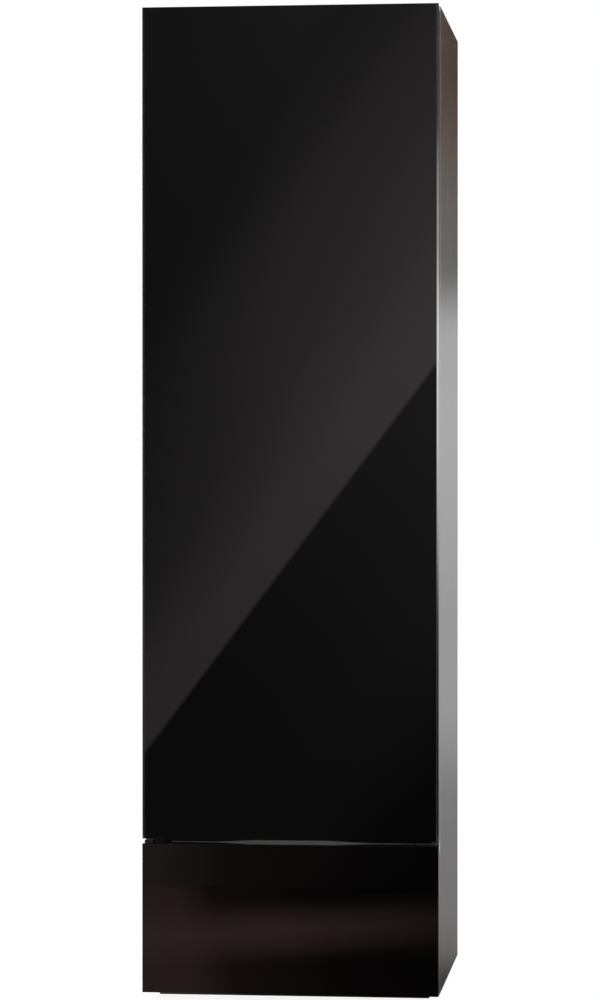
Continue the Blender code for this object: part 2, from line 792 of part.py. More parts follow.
def filter_well(grow):
    """The corners of the lint filter's basket seen from above, grown on all sides."""
    half = FILTER_LENGTH / 2 + grow
    return (-half, filter_front - grow), (half, filter_back + grow)


def make_chamber_floor():
    outside = chamber_half + LINER_SHEET
    low = (-outside, chamber_front, floor_bottom)
    high = (outside, chamber_back - FIT, chamber_bottom)
    deck = block("chamber_floor", low, high, "white_plastic")
    well_low, well_high = filter_well(FILTER_GAP)
    low = (*well_low, floor_bottom - OVERLAP)
    cut(deck, block("chamber_floor.well", low, (*well_high, chamber_bottom + OVERLAP)))


def make_lint_filter():
    """A slotted basket with a rim that lies on the floor and a bar to lift it by."""
    rim_low, rim_high = filter_well(FILTER_FLANGE)
    seat = chamber_bottom + FIT
    rim_top = seat + FILTER_FLANGE_SHEET
    bottom = rim_top - FILTER_DEPTH
    basket = block("lint_filter", (*rim_low, seat), (*rim_high, rim_top), "grey_plastic")
    low, high = filter_well(0)
    fuse(basket, block("lint_filter.body", (*low, bottom), (*high, seat + FILTER_FLANGE_SHEET / 2)))
    low, high = filter_well(-FILTER_WALL)
    cut(basket, block("lint_filter.pocket", (*low, bottom + FILTER_WALL), (*high, rim_top + OVERLAP)))
    pitch = (high[0] - low[0]) / FILTER_SLOTS
    slots = []
    for index in range(FILTER_SLOTS):
        x = low[0] + (index + 0.5) * pitch
        half = pitch * FILTER_SLOT_SHARE / 2
        start = (x - half, low[1] + FILTER_WALL, bottom - OVERLAP)
        slots.append((start, (x + half, high[1] - FILTER_WALL, bottom + FILTER_WALL + OVERLAP)))
    cut(basket, blocks("lint_filter.slots", slots))
    half = FILTER_GRIP_WIDTH / 2
    low = (-half, filter_front + FILTER_WALL / 2, seat)
    high = (half, filter_back - FILTER_WALL / 2, rim_top - FIT)
    fuse(basket, block("lint_filter.grip", low, high))


def make_filter_housing():
    """A trough under the floor that leads the air from the filter back to the coils."""
    low, high = filter_well(FILTER_HOUSING_MARGIN)
    top = floor_bottom - FIT
    bottom = top - FILTER_HOUSING_DEPTH
    back = coil_front - FILTER_HOUSING_MARGIN
    wall = FILTER_HOUSING_WALL
    housing = block("filter_housing", (*low, bottom), (high[0], back, top), "grey_plastic")
    pocket_low = (low[0] + wall, low[1] + wall, bottom + wall)
    well_high = (high[0] - wall, high[1], top + OVERLAP)
    cut(housing, block("filter_housing.well", pocket_low, well_high))
    cut(housing, block("filter_housing.outlet", pocket_low, (high[0] - wall, back + OVERLAP, top - wall)))


def make_hanging_rail():
    centre = (0, (chamber_front + chamber_back) / 2, chamber_top - RAIL_DROP)
    reach = chamber_half - FIT
    rail = rod("hanging_rail", "X", centre, (-reach, reach), RAIL_RADIUS, "chrome")
    flanges = []
    for side in (-1, 1):
        span = (side * (reach - FIT), side * (reach - FIT - RAIL_FLANGE))
        flanges.append(("X", centre, span, RAIL_FLANGE_RADIUS))
    fuse(rail, rods("hanging_rail.flanges", flanges))


def make_rack(name, height):
    """A flat rack of round bars that folds up about its rear bar."""
    pivot = Vector((0, rack_pivot_y, height))
    reach = chamber_half + LINER_SHEET + SOCKET_DEPTH - SOCKET_FLOOR - FIT
    rack = rod(name, "X", pivot, (-reach, reach), RACK_ROD_RADIUS, "chrome", ROD_SIDES)
    corners = [
        (-rack_half, rack_pivot_y, height), (-rack_half, rack_front, height),
        (rack_half, rack_front, height), (rack_half, rack_pivot_y, height),
    ]
    fuse(rack, tube(name + ".frame", corners, RACK_ROD_RADIUS, RACK_CORNER))
    pitch = RACK_DEPTH / (RACK_BARS + 1)
    bars = []
    for index in range(1, RACK_BARS + 1):
        place = (0, rack_pivot_y - index * pitch, height)
        bars.append(("X", place, (-rack_half, rack_half), RACK_BAR_RADIUS))
    fuse(rack, rods(name + ".bars", bars, ROD_SIDES))


def button_centre():
    return Vector((0, fascia_front, (fascia_bottom + fascia_top) / 2))


def knob_centre():
    return button_centre() - Vector((KNOB_OFFSET, 0, 0))


def make_control_fascia():
    reach = chamber_half - FIT
    back = fascia_front + FASCIA_SHEET
    low = (-reach, fascia_front, fascia_bottom)
    fascia = block("control_fascia", low, (reach, back, fascia_top), "black_plastic")
    span = (fascia_front - OVERLAP, back + OVERLAP)
    holes = [
        ("Y", button_centre(), span, BUTTON_RADIUS + RUN_CLEARANCE),
        ("Y", knob_centre(), span, SHAFT_RADIUS + RUN_CLEARANCE),
    ]
    cut(fascia, rods("control_fascia.holes", holes))


def make_selector_knob():
    foot = knob_centre()
    foot.y = fascia_front - FIT - KNOB_DEPTH
    reach = KNOB_DEPTH + SHAFT_LENGTH
    profile = [
        (0, 0), (KNOB_RADIUS - KNOB_RIM, 0), (KNOB_RADIUS, KNOB_RIM), (KNOB_RADIUS, KNOB_DEPTH),
        (SHAFT_RADIUS, KNOB_DEPTH), (SHAFT_RADIUS, reach), (0, reach),
    ]
    turned("selector_knob", profile, foot, "Y", "brushed_steel")


def make_start_button():
    foot = button_centre()
    foot.y -= BUTTON_PROUD
    shoulder = BUTTON_PROUD + FASCIA_SHEET + FIT
    rim = BUTTON_RADIUS + BUTTON_FLANGE_MARGIN
    end = shoulder + BUTTON_FLANGE
    profile = [
        (0, 0), (BUTTON_RADIUS, 0), (BUTTON_RADIUS, shoulder), (rim, shoulder), (rim, end), (0, end),
    ]
    turned("start_button", profile, foot, "Y", "brushed_steel")


def make_control_board():
    """The electronics box behind the fascia, with a space for the button's travel."""
    bottom = chamber_top + LINER_SHEET + FIT
    low = (-BOARD_LENGTH / 2, board_front, bottom)
    high = (BOARD_LENGTH / 2, board_back, bottom + BOARD_HEIGHT)
    box = block("control_board", low, high, "black_plastic")
    bevel(box, LINER_SHEET)


def make_air_duct():
    half = DUCT_WIDTH / 2
    bottom = FAN_HOUSING_TOP + FIT
    top = chamber_top - DUCT_TOP_MARGIN
    duct = block("air_duct", (-half, duct_front, bottom), (half, duct_back, top), "galvanised_steel")
    low = (-half + DUCT_WALL, duct_front - OVERLAP, bottom - OVERLAP)
    high = (half - DUCT_WALL, duct_back - DUCT_WALL, top - DUCT_WALL)
    cut(duct, block("air_duct.inside", low, high))


def make_fan():
    """A radial fan in a box that opens upwards into the duct."""
    half = DUCT_WIDTH / 2
    bottom = base_top + FIT
    low = (-half, duct_front, bottom)
    housing = block("fan_housing", low, (half, duct_back, FAN_HOUSING_TOP), "grey_plastic")
    low = (-half + DUCT_WALL, duct_front + DUCT_WALL, bottom + DUCT_WALL)
    high = (half - DUCT_WALL, duct_back - DUCT_WALL, FAN_HOUSING_TOP + OVERLAP)
    cut(housing, block("fan_housing.inside", low, high))
    centre = (0, duct_front, FAN_HEIGHT)
    span = (duct_front - OVERLAP, duct_front + DUCT_WALL + OVERLAP)
    cut(housing, rod("fan_housing.inlet", "Y", centre, span, FAN_INLET_RADIUS))
    motor_foot = (0, motor_front, FAN_HEIGHT)
    shaft = fan_front - motor_front
    profile = [
        (0, shaft), (FAN_SHAFT_RADIUS, shaft), (FAN_SHAFT_RADIUS, 0), (MOTOR_RADIUS, 0),
        (MOTOR_RADIUS, MOTOR_LENGTH), (0, MOTOR_LENGTH),
    ]
    turned("fan_motor", profile, motor_foot, "Y", "dark_metal")


def make_fan_impeller():
    foot = Vector((0, fan_front, FAN_HEIGHT))
    bore = FAN_SHAFT_RADIUS + RUN_CLEARANCE
    rotor = MOTOR_RADIUS + ROTOR_GAP
    can = rotor + ROTOR_WALL
    hub = motor_front - fan_front - ROTOR_GAP
    plate = FAN_WIDTH - FAN_PLATE
    profile = [
        (bore, 0), (can, 0), (can, plate), (FAN_RADIUS, plate), (FAN_RADIUS, FAN_WIDTH),
        (rotor, FAN_WIDTH), (rotor, hub), (bore, hub),
    ]
    impeller = turned("fan_impeller", profile, foot, "Y", "black_plastic", closed=True)
    bm = bmesh.new()
    inner = can + ROTOR_GAP
    length = FAN_RADIUS - inner
    size = Matrix.Diagonal((length, FAN_WIDTH - FAN_PLATE, FAN_BLADE, 1))
    middle = Vector(((inner + FAN_RADIUS) / 2 - ROTOR_GAP, FAN_WIDTH / 2, 0))
    tilt = Matrix.Rotation(math.radians(FAN_BLADE_TILT), 4, "Y")
    for index in range(FAN_BLADES):
        turn = Matrix.Rotation(math.tau * index / FAN_BLADES, 4, "Y")
        place = Matrix.Translation(foot) @ turn @ Matrix.Translation(middle) @ tilt @ size
        bmesh.ops.create_cube(bm, size=1, matrix=place)
    fuse(impeller, add_object("fan_impeller.blades", bm, (0, 0, 0)))
    ring = [
        (FAN_INLET_RADIUS, 0), (FAN_RADIUS, 0), (FAN_RADIUS, FAN_PLATE), (FAN_INLET_RADIUS, FAN_PLATE),
    ]
    fuse(impeller, turned("fan_impeller.ring", ring, foot, "Y", closed=True))


def make_drip_tray():
    half = COIL_WIDTH / 2 + DRIP_MARGIN
    bottom = base_top + FIT
    wall = DRIP_WALL
    front = coil_front - DRIP_MARGIN
    back = condenser_back + DRIP_MARGIN
    low = (-half, front, bottom)
    tray = block("drip_tray", low, (half, back, bottom + DRIP_HEIGHT), "black_plastic")
    low = (-half + wall, front + wall, bottom + wall)
    high = (half - wall, back - wall, bottom + DRIP_HEIGHT + OVERLAP)
    cut(tray, block("drip_tray.pocket", low, high))


def make_coil(name, front):
    """A finned heat exchanger between two plates, with a pipe spigot on its left."""
    half = COIL_WIDTH / 2
    back = front + COIL_DEPTH
    top = coil_bottom + COIL_HEIGHT
    low = (-half, front, coil_bottom)
    coil = block(name, low, (half, back, coil_bottom + COIL_PLATE), "aluminium")
    pitch = (COIL_WIDTH - COIL_FIN) / (COIL_FINS - 1)
    fins = []
    for index in range(COIL_FINS):
        x = -half + index * pitch
        start = (x, front + FIT, coil_bottom + COIL_PLATE / 2)
        fins.append((start, (x + COIL_FIN, back - FIT, top - COIL_PLATE / 2)))
    fuse(coil, blocks(name + ".fins", fins))
    low = (-half - FIT, front, top - COIL_PLATE)
    fuse(coil, block(name + ".top", low, (half + FIT, back, top)))
    spigot = (0, (front + back) / 2, coil_pipe_height)
    span = (-half + COIL_FIN / 2, -half - SPIGOT_LENGTH)
    fuse(coil, rod(name + ".spigot", "X", spigot, span, SPIGOT_RADIUS, sides=ROD_SIDES))


def make_compressor():
    bottom = base_top + FIT
    shoulder = COMPRESSOR_FOOT_SHEET + COMPRESSOR_HEIGHT - COMPRESSOR_DOME
    top = COMPRESSOR_FOOT_SHEET + COMPRESSOR_HEIGHT
    profile = [
        (0, COMPRESSOR_FOOT_SHEET / 2), (COMPRESSOR_RADIUS, COMPRESSOR_FOOT_SHEET / 2),
        (COMPRESSOR_RADIUS, shoulder),
    ]
    for step in range(1, DOME_STEPS):
        angle = math.pi / 2 * step / DOME_STEPS
        height = shoulder + COMPRESSOR_DOME * math.sin(angle)
        profile.append((COMPRESSOR_RADIUS * math.cos(angle), height))
    profile.append((0, top))
    foot = (compressor_x, compressor_y, bottom)
    pot = turned("compressor", profile, foot, finish="dark_metal")
    half = COMPRESSOR_FOOT / 2
    low = (compressor_x - half, compressor_y - half, bottom)
    high = (compressor_x + half, compressor_y + half, bottom + COMPRESSOR_FOOT_SHEET)
    fuse(pot, block("compressor.foot", low, high))
    stubs = []
    for side in (-1, 1):
        place = (compressor_x, compressor_y + side * STUB_SPREAD, 0)
        stubs.append(("Z", place, (bottom + top - COMPRESSOR_DOME, stub_top), SPIGOT_RADIUS))
    fuse(pot, rods("compressor.stubs", stubs, ROD_SIDES))


def make_pipes():
    """Copper pipes from the compressor's stubs to the two coils."""
    ends = {
        "suction_pipe": (-STUB_SPREAD, coil_front + COIL_DEPTH / 2),
        "discharge_pipe": (STUB_SPREAD, condenser_front + COIL_DEPTH / 2),
    }
    coil_end = -COIL_WIDTH / 2 - SPIGOT_LENGTH - FIT
    bend_x = (compressor_x + coil_end) / 2
    rise = max(stub_top + 2 * PIPE_BEND, coil_pipe_height)
    for name, (offset, coil_y) in ends.items():
        start = (compressor_x, compressor_y + offset, stub_top + FIT)
        corners = [
            start, (start[0], start[1], rise), (bend_x, coil_y, rise),
            (coil_end - PIPE_BEND, coil_y, coil_pipe_height), (coil_end, coil_y, coil_pipe_height),
        ]
        tube(name, corners, PIPE_RADIUS, PIPE_BEND / 2, "copper")


def make_runners():
    """Outer members that stand on the base, and middle members that run at half travel."""
    sheet = RUNNER_SHEET
    lip = chamber_half - RUNNER_REACH
    web = chamber_half - sheet
    foot = base_top + FIT
    outer = [
        (chamber_half, foot), (chamber_half, runner_top), (lip, runner_top), (lip, runner_top - sheet),
        (web, runner_top - sheet), (web, runner_bottom + sheet), (lip, runner_bottom + sheet),
        (lip, runner_bottom), (web, runner_bottom), (web, foot + sheet),
        (chamber_half - RUNNER_FOOT, foot + sheet), (chamber_half - RUNNER_FOOT, foot),
    ]
    middle = [
        (middle_outer, middle_bottom), (middle_outer, middle_top), (middle_lip, middle_top),
        (middle_lip, middle_top - sheet), (middle_outer - sheet, middle_top - sheet),
        (middle_outer - sheet, middle_bottom + sheet), (middle_lip, middle_bottom + sheet),
        (middle_lip, middle_bottom),
    ]
    for side in (-1, 1):
        outline = [(side * x, z) for x, z in outer]
        span = (runner_front, runner_back)
        prism(side_name("runner_outer", side), outline, "Y", span, "galvanised_steel")
        outline = [(side * x, z) for x, z in middle]
        span = (runner_front, runner_front + MIDDLE_LENGTH)
        origin = (side * middle_outer, runner_front, middle_bottom)
        prism(side_name("runner_middle", side), outline, "Y", span, "chrome", origin)


def glass_pane(name, bottom, top):
    low = (-half_width, glass_front, bottom)
    pane = block(name, low, (half_width, glass_back, top), "black_glass")
    bevel(pane, GLASS_BEVEL)
    return pane


def make_drawer():
    """The glass front on its shell, and the box that holds the condensate tank."""
    slide = axis_empty("drawer_slide_axis", (0, door_back, box_bottom))
    glass = glass_pane("drawer_glass", drawer_bottom, drawer_top)
    shell_top = drawer_top - DRAWER_GRIP
    low = Vector((-half_width, shell_front, drawer_bottom))
    high = Vector((half_width, door_back, shell_top))
    shell = block("drawer_shell", low, high, "brushed_steel")
    wall = Vector((FRONT_WALL, FRONT_WALL, FRONT_WALL))
    pocket_low = low + wall
    pocket_low.y = shell_front - OVERLAP
    cut(shell, block("drawer_shell.pocket", pocket_low, high - wall))
    low = Vector((-box_half, box_front, box_bottom))
    high = Vector((box_half, box_back, box_bottom + BOX_HEIGHT))
    box = block("drawer_box", low, high, "galvanised_steel")
    wall = Vector((BOX_WALL, BOX_WALL, BOX_WALL))
    pocket_high = high - wall
    pocket_high.z = high.z + OVERLAP
    cut(box, block("drawer_box.pocket", low + wall, pocket_high))
    gap = RUNNER_SHEET + RUN_CLEARANCE
    bars = []
    for side in (-1, 1):
        x = sorted((side * (box_half - BOX_WALL / 2), side * (middle_outer - gap)))
        low = (x[0], box_front + OVERLAP, middle_bottom + gap)
        bars.append((low, (x[1], box_back - OVERLAP, middle_top - gap)))
    fuse(box, blocks("drawer_box.bars", bars))
    hang(slide, glass, shell, box, *make_tank())


def make_tank():
    low = Vector((-tank_half, tank_front, tank_bottom))
    high = Vector((tank_half, tank_back, tank_bottom + TANK_HEIGHT))
    tank = block("condensate_tank", low, high, "tank_plastic")
    wall = Vector((TANK_WALL, TANK_WALL, TANK_WALL))
    pocket_high = high - wall
    pocket_high.z = high.z + OVERLAP
    cut(tank, block("condensate_tank.pocket", low + wall, pocket_high))
    lid_bottom = high.z + FIT
    low.z = lid_bottom
    lid = block("tank_lid", low, (high.x, high.y, lid_bottom + LID_SHEET), "grey_plastic")
    rim = Vector((TANK_WALL + FIT, TANK_WALL + FIT, 0))
    skirt_low = low + rim
    skirt_low.z = lid_bottom - LID_RIM
    skirt_high = high - rim
    skirt_high.z = lid_bottom + LID_SHEET / 2
    fuse(lid, block("tank_lid.skirt", skirt_low, skirt_high))
    hollow_low = skirt_low + Vector((TANK_WALL, TANK_WALL, -OVERLAP))
    hollow_high = skirt_high - Vector((TANK_WALL, TANK_WALL, 0))
    hollow_high.z = lid_bottom
    cut(lid, block("tank_lid.hollow", hollow_low, hollow_high))
    centre = (0, (tank_front + tank_back) / 2, lid_bottom)
    span = (lid_bottom - OVERLAP, lid_bottom + LID_SHEET + OVERLAP)
    cut(lid, rod("tank_lid.spout", "Z", centre, span, SPOUT_RADIUS))
    return tank, lid


def make_door():
    """Glass on an open frame, an inner panel, a gasket and the two hinge bushes."""
    hinge = axis_empty("door_hinge_axis", (pivot_x, pivot_y, door_bottom))
    glass = glass_pane("door_glass", door_bottom, door_top)
    low = Vector((door_left, shell_front, door_bottom))
    high = Vector((half_width, door_back, door_top - GLASS_BEVEL))
    frame = block("door_frame", low, high, "brushed_steel")
    opening_low = low + Vector((FRONT_WALL, -OVERLAP, FRONT_WALL))
    opening_high = high + Vector((-FRONT_WALL, OVERLAP, -HINGE_POCKET - FRONT_WALL))
    cut(frame, block("door_frame.opening", opening_low, opening_high))
    pocket_low = (pivot_x - HINGE_ARM - EAR_RADIUS, shell_front - OVERLAP, pocket_floor)
    pocket_high = (half_width + OVERLAP, door_back + OVERLAP, door_top)
    cut(frame, block("door_frame.hinge_pocket", pocket_low, pocket_high))
    axis = (pivot_x, pivot_y, 0)
    bore = PIN_RADIUS + RUN_CLEARANCE + BUSH_WALL + FIT
    spans = (
        (door_bottom - OVERLAP, door_bottom + FRONT_WALL + OVERLAP),
        (pocket_floor - HINGE_POCKET - FRONT_WALL, door_top),
    )
    cut(frame, rods("door_frame.bush_holes", [("Z", axis, span, bore) for span in spans]))
    panel = make_inner_panel(opening_low, opening_high)
    hang(hinge, glass, frame, panel, make_gasket(), *make_bushes())


def make_inner_panel(opening_low, opening_high):
    """A panel inside the back of the door frame, with a raised middle that is hollow behind."""
    low = Vector((opening_low.x + FIT, door_back - INNER_PANEL, opening_low.z + FIT))
    high = Vector((opening_high.x - FIT, door_back, opening_high.z - FIT))
    panel = block("door_inner_panel", low, high, "white_plastic")
    half = chamber_half - INNER_PANEL_MARGIN
    raised_low = (-half, door_back - INNER_PANEL / 2, chamber_bottom + INNER_PANEL_MARGIN)
    raised_high = (half, door_back + INNER_PANEL_RAISE, fascia_bottom - INNER_PANEL_MARGIN)
    fuse(panel, block("door_inner_panel.raised", raised_low, raised_high))
    wall = Vector((INNER_PANEL, 0, INNER_PANEL))
    hollow_low = Vector(raised_low) + wall
    hollow_low.y = door_back - INNER_PANEL - OVERLAP
    hollow_high = Vector(raised_high) - wall
    hollow_high.y -= INNER_PANEL
    cut(panel, block("door_inner_panel.hollow", hollow_low, hollow_high))
    return panel


def make_gasket():
    front = door_back + FIT
    back = body_front - FIT
    low = Vector((door_left + GASKET_EDGE, front, door_bottom + GASKET_EDGE))
    high = Vector((pivot_x, back, frame_top - GASKET_EDGE))
    gasket = block("door_gasket", low, high, "grey_rubber")
    inset = Vector((GASKET_WIDTH, -OVERLAP, GASKET_WIDTH))
    cut(gasket, block("door_gasket.mouth", low + inset, high - inset))
    return gasket


def make_bushes():
    """Flanged bushes that the hinge pins turn in. Each is placed by its outer flange face."""
    bore = PIN_RADIUS + RUN_CLEARANCE
    outer = bore + BUSH_WALL
    length = PIN_GRIP + BUSH_FLANGE
    profile = [
        (bore, 0), (BUSH_FLANGE_RADIUS, 0), (BUSH_FLANGE_RADIUS, BUSH_FLANGE), (outer, BUSH_FLANGE),
        (outer, length), (bore, length),
    ]
    lower_foot = (pivot_x, pivot_y, door_bottom - FIT - BUSH_FLANGE)
    lower = turned("lower_hinge_bush", profile, lower_foot, finish="black_plastic", closed=True)
    flipped = [(radius, -height) for radius, height in profile]
    upper_foot = (pivot_x, pivot_y, pocket_floor + FIT + BUSH_FLANGE)
    upper = turned("upper_hinge_bush", flipped, upper_foot, finish="black_plastic", closed=True)
    return lower, upper


def hinge_outline(back):
    """A hinge plate seen from above: an arm from the cabinet to a round ear on the pivot."""
    left = pivot_x - HINGE_ARM
    right = half_width - CASING_RETURN - FIT
    bend = body_front - FIT
    outline = [(left, back), (left, pivot_y - EAR_RADIUS)]
    for step in range(EAR_STEPS + 1):
        angle = math.pi / 2 * (step / EAR_STEPS - 1)
        x = pivot_x + EAR_RADIUS * math.cos(angle)
        outline.append((x, pivot_y + EAR_RADIUS * math.sin(angle)))
    outline += [(pivot_x + EAR_RADIUS, bend), (right, bend), (right, back)]
    return outline


def make_hinges():
    """The upper plate lies on the header, and the lower one is bolted to the cross rail's face."""
    axis = (pivot_x, pivot_y, 0)
    hole = PIN_RADIUS + FIT
    bottom = hinge_plate_bottom
    top = bottom + HINGE_PLATE
    outline = hinge_outline(frame_front + HINGE_REACH)
    upper = prism("upper_hinge", outline, "Z", (bottom, top), "dark_metal")
    cut(upper, rod("upper_hinge.hole", "Z", axis, (bottom - OVERLAP, top + OVERLAP), hole))
    profile = [
        (0, top + FIT + PIN_HEAD), (PIN_COLLAR_RADIUS, top + FIT + PIN_HEAD),
        (PIN_COLLAR_RADIUS, top + FIT), (PIN_RADIUS, top + FIT),
        (PIN_RADIUS, pocket_floor - PIN_GRIP), (0, pocket_floor - PIN_GRIP),
    ]
    turned("upper_hinge_pin", profile, axis, finish="chrome")

    bottom = drawer_top + HINGE_CLEARANCE
    top = bottom + HINGE_PLATE
    seat = frame_front - FIT
    lower = prism("lower_hinge", hinge_outline(seat), "Z", (bottom, top), "dark_metal")
    leg_low = (pivot_x - HINGE_ARM, seat - HINGE_PLATE, bottom - HINGE_LEG)
    leg_high = (half_width - CASING_RETURN - 2 * FIT, seat - FIT, bottom + HINGE_PLATE / 2)
    fuse(lower, block("lower_hinge.leg", leg_low, leg_high))
    cut(lower, rod("lower_hinge.hole", "Z", axis, (bottom - OVERLAP, top + OVERLAP), hole))
    collar = door_bottom - 2 * FIT - BUSH_FLANGE
    profile = [
        (0, door_bottom + PIN_GRIP), (PIN_RADIUS, door_bottom + PIN_GRIP), (PIN_RADIUS, collar),
        (PIN_COLLAR_RADIUS, collar), (PIN_COLLAR_RADIUS, top + FIT), (PIN_RADIUS, top + FIT),
        (PIN_RADIUS, bottom), (0, bottom),
    ]
    turned("lower_hinge_pin", profile, axis, finish="chrome")


def main():
    clear_scene()
    make_base()
    make_plinth()
    make_feet()
    make_side_panels()
    make_top_panel()
    make_rear_panel()
    make_mains_inlet()
    make_front_frame()
    make_chamber_sides()
    make_chamber_ceiling()
    make_chamber_lamp()
    make_air_diffuser()
    make_chamber_floor()
    make_lint_filter()
    make_filter_housing()
    make_hanging_rail()
    make_rack("drying_rack", DRYING_RACK_HEIGHT)
    make_rack("shoe_rack", SHOE_RACK_HEIGHT)
    make_control_fascia()
    make_selector_knob()
    make_start_button()
    make_control_board()
    make_air_duct()
    make_fan()
    make_fan_impeller()
    make_drip_tray()
    make_coil("evaporator", coil_front)
    make_coil("condenser", condenser_front)
    make_compressor()
    make_pipes()
    make_runners()
    make_drawer()
    make_door()
    make_hinges()


main()
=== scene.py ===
"""Looks of a clothes drying cabinet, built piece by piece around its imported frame.

Lengths are metres, +Z is up and the glass fronts face -Y.
"""

import math

import bmesh
import bpy
from mathutils import Matrix, Vector


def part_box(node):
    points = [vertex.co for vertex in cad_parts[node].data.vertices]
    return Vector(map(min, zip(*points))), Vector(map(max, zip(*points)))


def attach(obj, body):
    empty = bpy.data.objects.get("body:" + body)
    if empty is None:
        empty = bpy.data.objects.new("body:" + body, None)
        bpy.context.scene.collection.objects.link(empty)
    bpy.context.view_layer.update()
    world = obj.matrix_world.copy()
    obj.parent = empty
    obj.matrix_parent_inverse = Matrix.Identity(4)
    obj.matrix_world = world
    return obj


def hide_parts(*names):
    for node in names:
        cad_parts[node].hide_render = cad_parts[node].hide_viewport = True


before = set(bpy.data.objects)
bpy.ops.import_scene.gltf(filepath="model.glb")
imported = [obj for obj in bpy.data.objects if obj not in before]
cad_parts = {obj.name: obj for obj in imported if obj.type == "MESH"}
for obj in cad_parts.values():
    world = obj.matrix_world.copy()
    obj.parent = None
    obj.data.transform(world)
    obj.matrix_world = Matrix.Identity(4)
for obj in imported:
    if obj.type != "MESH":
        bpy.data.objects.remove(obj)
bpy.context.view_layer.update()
MM = 0.001


# Base tray and drawer-side steelwork
# Parts folded from hot-dip galvanised sheet and screwed together: the tray under the machine bay,
# the air duct, the rear panel, the drawer's box and the outer runners.


def hex_colour(code):
    """An sRGB hex value as the linear colour that a shader takes."""
    linear = []
    for place in (1, 3, 5):
        part = int(code[place : place + 2], 16) / 255
        linear.append(part / 12.92 if part <= 0.04045 else ((part + 0.055) / 1.055) ** 2.4)
    return (*linear, 1)


def feed(material, node="Principled BSDF", *inputs, **named):
    """Sets or links a shader node's inputs, in order or by name with _ for a space."""
    sockets = material.node_tree.nodes[node].inputs
    for key, value in [*enumerate(inputs), *named.items()]:
        socket = sockets[key.replace("_", " ") if isinstance(key, str) else key]
        if isinstance(value, bpy.types.Node):
            value = value.outputs[0]
        if isinstance(value, bpy.types.NodeSocket):
            material.node_tree.links.new(value, socket)
        elif value is not None:
            socket.default_value = value


def add(material, kind, *inputs, stops=(), **settings):
    """Adds one shader node, with its inputs in order or by name, properties and colour stops."""
    node = material.node_tree.nodes.new("ShaderNode" + kind)
    if stops:
        ramp = node.color_ramp.elements
        while len(ramp) < len(stops):
            ramp.new(0.5)
        for stop, (position, colour) in zip(ramp, stops):
            stop.position = position
            stop.color = colour
    for key in [key for key in settings if hasattr(node, key)]:
        setattr(node, key, settings.pop(key))
    feed(material, node.name, *inputs, **settings)
    return node


def new_material(name, colour, roughness, metallic=0):
    """A material with one shader and an Object coordinate to hang patterns on."""
    material = bpy.data.materials.new(name)
    material.use_nodes = True
    feed(material, Base_Color=hex_colour(colour), Roughness=roughness, Metallic=metallic)
    add(material, "TexCoord", name="place")
    return material


def spot(material):
    """The Object coordinate of a material."""
    return material.node_tree.nodes["place"].outputs["Object"]


def dress(material, *nodes):
    """Gives solids of the frame that keep their shape their own finish."""
    for node in nodes:
        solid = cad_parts[node]
        solid.data.materials.clear()
        solid.data.materials.append(material)


# Zinc from the dip: pale crystal flakes of about 12 mm, each with its own tone and gloss.
FLAKE = 12 * MM
zinc = new_material("hot_dip_galvanised_steel", "#A7ABAD", 0.42, 1)
flakes = add(zinc, "TexVoronoi", spot(zinc), Scale=1 / FLAKE).outputs["Color"]
zinc_shades = [(0, hex_colour("#8D9294")), (1.0, hex_colour("#BEC2C3"))]
feed(
    zinc,
    Base_Color=add(zinc, "ValToRGB", flakes, stops=zinc_shades),
    Roughness=add(zinc, "MapRange", flakes, To_Min=0.34, To_Max=0.52),
)
dress(zinc, "base_tray", "air_duct")
dress(zinc, "runner_outer_left", "runner_outer_right", "drawer_box", "rear_panel")


# Plinth and black mouldings
# The plinth, the tray under the coils, the fascia and the other black pieces are injection moulded
# and clip or screw to the steel around them.
GRAIN = 0.8 * MM
CLOUD = 60 * MM


def tints(colour, *stops):
    """Ramp stops of one hex colour, each with its place and its share of the light."""
    base = Vector(hex_colour(colour)[:3])
    return [(place, (*(base * share), 1.0)) for place, share in stops]


def moulded(name, colour, roughness, grain=GRAIN, depth=0.12):
    """Moulded plastic: an even colour with a faint cloud in it and a fine tool grain."""
    material = new_material(name, colour, roughness)
    cloud = add(material, "TexNoise", spot(material), Scale=1 / CLOUD, Detail=2)
    pits = add(material, "TexNoise", spot(material), Scale=1 / grain, Detail=1)
    shades = tints(colour, (0.3, 0.985), (0.7, 1.01))
    feed(
        material,
        Base_Color=add(material, "ValToRGB", cloud, stops=shades),
        Normal=add(material, "Bump", Strength=depth, Distance=0.2 * MM, Height=pits),
    )
    return material


# Black ABS: a spark-eroded tool leaves a fine grain, drawn at 0.8 mm so that it shows, and a soft
# low sheen.
black_abs = moulded("moulded_black_abs", "#161617", 0.45)
dress(black_abs, "plinth", "drip_tray", "mains_inlet", "control_board", "fan_impeller")
dress(black_abs, "upper_hinge_bush", "lower_hinge_bush", "control_fascia")


# Levelling feet
# Four screw feet: a ribbed pad of hard plastic, a hexagon for the spanner and a threaded stem that
# turns in the base tray. The thread is drawn as rings of 1.5 mm pitch.
WELD = 0.005 * MM
ROUND_ANGLE = math.radians(35)


def new_piece(name, primitive, stretch=(1, 1, 1), **settings):
    """Adds a primitive under a name, with its place, turn and stretch moved into its mesh."""
    bpy.ops.object.select_all(action="DESELECT")
    primitive(**settings)
    piece = bpy.context.object
    piece.name = piece.data.name = name
    piece.scale = stretch
    bpy.ops.object.transform_apply(location=True, rotation=True, scale=True)
    return piece


